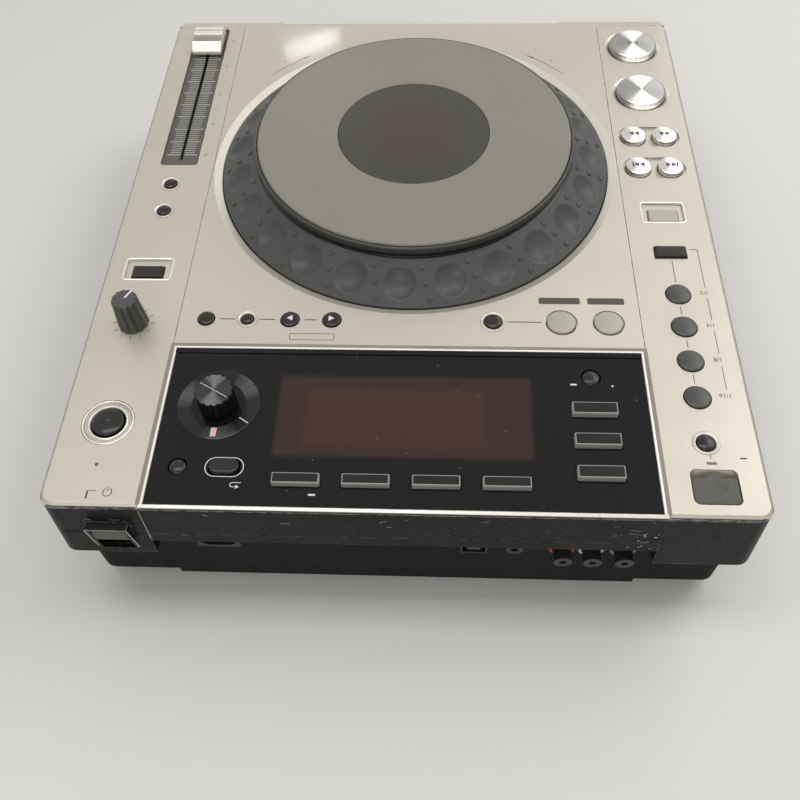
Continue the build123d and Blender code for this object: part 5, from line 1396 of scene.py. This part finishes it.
@dataclass
class Rear:
    """The hood's lower edge, worn edges and scratches, and the rings of the sockets."""

    rear: float = 169.0
    lean: float = 3.2
    drop: float = 38.0
    top: float = 86.0
    hood_foot: float = 64.3
    lip_height: float = 6.0
    lip_depth: float = 1.8
    half_hood: float = 109.2
    block_edge: float = 148.0
    guard_x: float = 125.5
    guard_width: float = 18.5
    guard_top: float = 73.0
    guard_foot: float = 53.0
    guard_reach: float = 174.0
    guard_draft: float = 2.0
    sockets: tuple[tuple[str, float, Finish], ...] = (
        ("left", -84.0, WHITE_RING), ("right", -71.0, RED_RING), ("digital", -98.0, DULL_TRIM),
    )
    socket_height: float = 46.0
    socket_radius: float = 5.7

    def build(self) -> None:
        """Builds the pieces of the rear."""
        self.build_lip()
        self.build_lines()
        self.build_guard_edge()
        profile = eased([(0.0, 0.0), (0.0, 0.7), (1.3, 0.7), (1.3, 0.0)], 0.2, 2)
        panel = Spot("rear_panel").high.y
        for name, x, finish in self.sockets:
            ring = stack(circle(x, self.socket_height, self.socket_radius, 48), profile, Ends.RING)
            build_piece("phono_ring_" + name, upright(ring, lambda _: panel), finish)

    def wall(self, height: float) -> float:
        """Place along of the leaning rear wall at a height."""
        return self.rear + self.lean * (self.top - height) / self.drop

    def guard_edge(self, height: float) -> float:
        """Place along of the guard's outer edge at a height."""
        return self.guard_reach - self.guard_draft * (self.guard_top - height) / (self.guard_top - self.guard_foot)

    def build_lip(self) -> None:
        """Builds the lower edge of the hood over the sockets."""
        high, low = self.hood_foot, self.hood_foot - self.lip_height
        outer, inner = (self.wall(high), self.wall(low)), (self.wall(high), self.wall(low))
        profile = [(outer[0], high + 0.1), (outer[1], low), (inner[1] - self.lip_depth, low),
                   (inner[0] - self.lip_depth, high + 0.1)]
        lip = moulding([(-self.half_hood, 0.0), (self.half_hood, 0.0)], profile)
        build_piece("hood_lip", lip, CHARCOAL, bevel=0.3)

    def build_lines(self) -> None:
        """Draws the parting lines, the rubbed edges and the scratches of the rear."""
        level, edge = self.hood_foot + 0.4, self.half_hood + 0.3
        parting = stroke([(self.half_hood + 1.6, level), (self.block_edge, level)], 0.25, 0.0)
        build_piece("case_parting", upright(parting, self.wall), PARTING_LINE)
        rubbed = stroke([(edge, 82.5), (edge, 60.0)], 0.35, 0.0)
        draw = random.Random(7)
        for _ in range(26):
            x = draw.choice((draw.uniform(-104, 104), draw.uniform(-106, -88), draw.uniform(112, 140)))
            height, turn = draw.uniform(62, 84), draw.uniform(-0.9, 0.9)
            size, bend = draw.uniform(0.8, 5.5), draw.uniform(-0.5, 0.5)
            route = [(x + size * share * math.cos(turn + bend * share),
                      min(height + size * share * math.sin(turn + bend * share) * 0.6, 84.0))
                     for share in (0.0, 0.25, 0.5, 0.75, 1.0)]
            rubbed.join(stroke(route, draw.uniform(0.1, 0.26), 0.0))
        for _ in range(14):
            x, height, size = draw.uniform(-108, -97), draw.uniform(58.6, 74), draw.uniform(0.3, 1.5)
            route = [(x, height), (x + size, height + draw.uniform(-0.3, 0.4))]
            rubbed.join(stroke(route, draw.uniform(0.2, 0.7), 0.0))
        build_piece("case_scratches", upright(rubbed, self.wall), RUBBED_EDGE)

    def build_guard_edge(self) -> None:
        """Draws a thin pale line along the outer edge of the power switch's guard."""
        half, top, foot = self.guard_width / 2 - 0.2, self.guard_top - 0.15, self.guard_foot
        left, right = self.guard_x - half, self.guard_x + half
        guard = stroke([(left, foot), (left, top), (right, top), (right, foot)], 0.5, 0.0)
        build_piece("guard_edge", upright(guard, self.guard_edge), RUBBED_EDGE)


# ---------------------------------------------------------------------------
# Studio
# ---------------------------------------------------------------------------
@dataclass(frozen=True)
class Lamp:
    """One soft rectangular lamp, in metres and watts."""

    name: str
    place: Place
    target: Place
    size: Point
    power: float
    along: Place = (1.0, 0.0, 0.0)  # the way that its first side runs

    def build(self) -> None:
        """Hangs the lamp so that it faces its target."""
        data = bpy.data.lights.new(self.name, "AREA")
        data.shape = "RECTANGLE"
        data.size, data.size_y = self.size
        data.energy = self.power
        lamp = bpy.data.objects.new(self.name, data)
        side = Vector(self.along).normalized()
        back = Vector(self.place) - Vector(self.target)
        back = (back - side * back.dot(side)).normalized()
        turn = Matrix((side, back.cross(side), back)).transposed()
        lamp.matrix_world = Matrix.Translation(self.place) @ turn.to_4x4()
        bpy.context.scene.collection.objects.link(lamp)


@dataclass
class Studio:
    """A pale floor, soft lamps and the camera."""

    floor_colour: str = "#E4E2DD"
    floor_half: float = 4.0  # metres from the middle to each side
    world_light: float = 0.4
    lamps: tuple[Lamp, ...] = (
        Lamp("key_lamp", (-1.0, -0.45, 1.2), (0.0, 0.0, 0.08), (0.9, 0.9), 8.0),
        Lamp("front_lamp", (-0.72, -1.3, 0.95), (0.0, 0.0, 0.08), (0.5, 0.5), 1.5),
        Lamp("rear_lamp", (0.25, 1.15, 0.9), (0.0, 0.1, 0.06), (0.6, 0.4), 3.0),
        Lamp("top_lamp", (0.15, 0.04, 1.3), (0.0, 0.05, 0.08), (1.1, 0.3), 5.0),
        Lamp("strip_lamp", (0.354, -1.892, 1.25), (0.065, -0.15, 0.086), (0.16, 0.010), 0.55, (0.862, 0.507, 0.0)),
    )
    lens: float = 39.19
    sensor: float = 36.0
    camera_place: Place = (-14.37, 329.74, 406.52)
    camera_forward: Place = (0.0422, -0.5584, -0.8285)
    camera_down: Place = (-0.0148, 0.8288, -0.5593)

    def build(self) -> None:
        """Builds floor, world, lamps and camera."""
        self.build_floor()
        self.build_world()
        for lamp in self.lamps:
            lamp.build()
        self.build_camera()
        bpy.context.scene.view_settings.view_transform = "Standard"

    def build_floor(self) -> None:
        """Lays the floor."""
        mesh, size = bpy.data.meshes.new("floor"), self.floor_half
        mesh.from_pydata([(-size, -size, 0), (size, -size, 0), (size, size, 0), (-size, size, 0)], [],
                         [(0, 1, 2, 3)])
        floor = bpy.data.objects.new("floor", mesh)
        bpy.context.scene.collection.objects.link(floor)
        finish = Finish("studio_floor", self.floor_colour, self.floor_colour, roughness=0.9, specular=0.1,
                        bump_mm=0.0)
        mesh.materials.append(finish.material())

    def build_world(self) -> None:
        """Sets an even white sky, at full strength only where it is looked at or mirrored."""
        world = bpy.data.worlds.new("studio")
        bpy.context.scene.world = world
        world.use_nodes = True
        world.node_tree.nodes.clear()
        graph = Graph(world.node_tree)
        seen = graph.add("LightPath", out="Is Camera Ray")
        rays = seen.node.outputs
        for kind in ("Is Glossy Ray", "Is Transmission Ray"):
            seen = graph.add("Math", (seen, rays[kind]), operation="MAXIMUM")
        strength = graph.add("MapRange", {0: seen, 3: self.world_light, 4: 1.0})
        graph.add("OutputWorld", (graph.add("Background", ((1.0, 1.0, 1.0, 1.0), strength)),))

    def build_camera(self) -> None:
        """Sets the camera."""
        data = bpy.data.cameras.new("camera")
        data.lens = self.lens
        data.sensor_width = self.sensor
        data.clip_start = 0.01
        camera = bpy.data.objects.new("camera", data)
        forward = Vector(self.camera_forward).normalized()
        right = forward.cross(-Vector(self.camera_down)).normalized()
        turn = Matrix((right, right.cross(forward), -forward)).transposed()
        camera.matrix_world = Matrix.Translation(Vector(self.camera_place) * MM) @ turn.to_4x4()
        bpy.context.scene.collection.objects.link(camera)
        bpy.context.scene.camera = camera


def main() -> None:
    """Builds every sub-assembly, then the studio."""
    logging.basicConfig(level=logging.INFO, format="%(name)s: %(message)s")
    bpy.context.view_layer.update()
    for part in (Housing(), PlateTrim(), Display(), Keys(), JogWheel(), Selector(), SpeedKnob(), Fader(),
                 EjectCup(), StickBay(), Marks(), Rear(), Studio()):
        part.build()


if __name__ == "__main__":
    main()
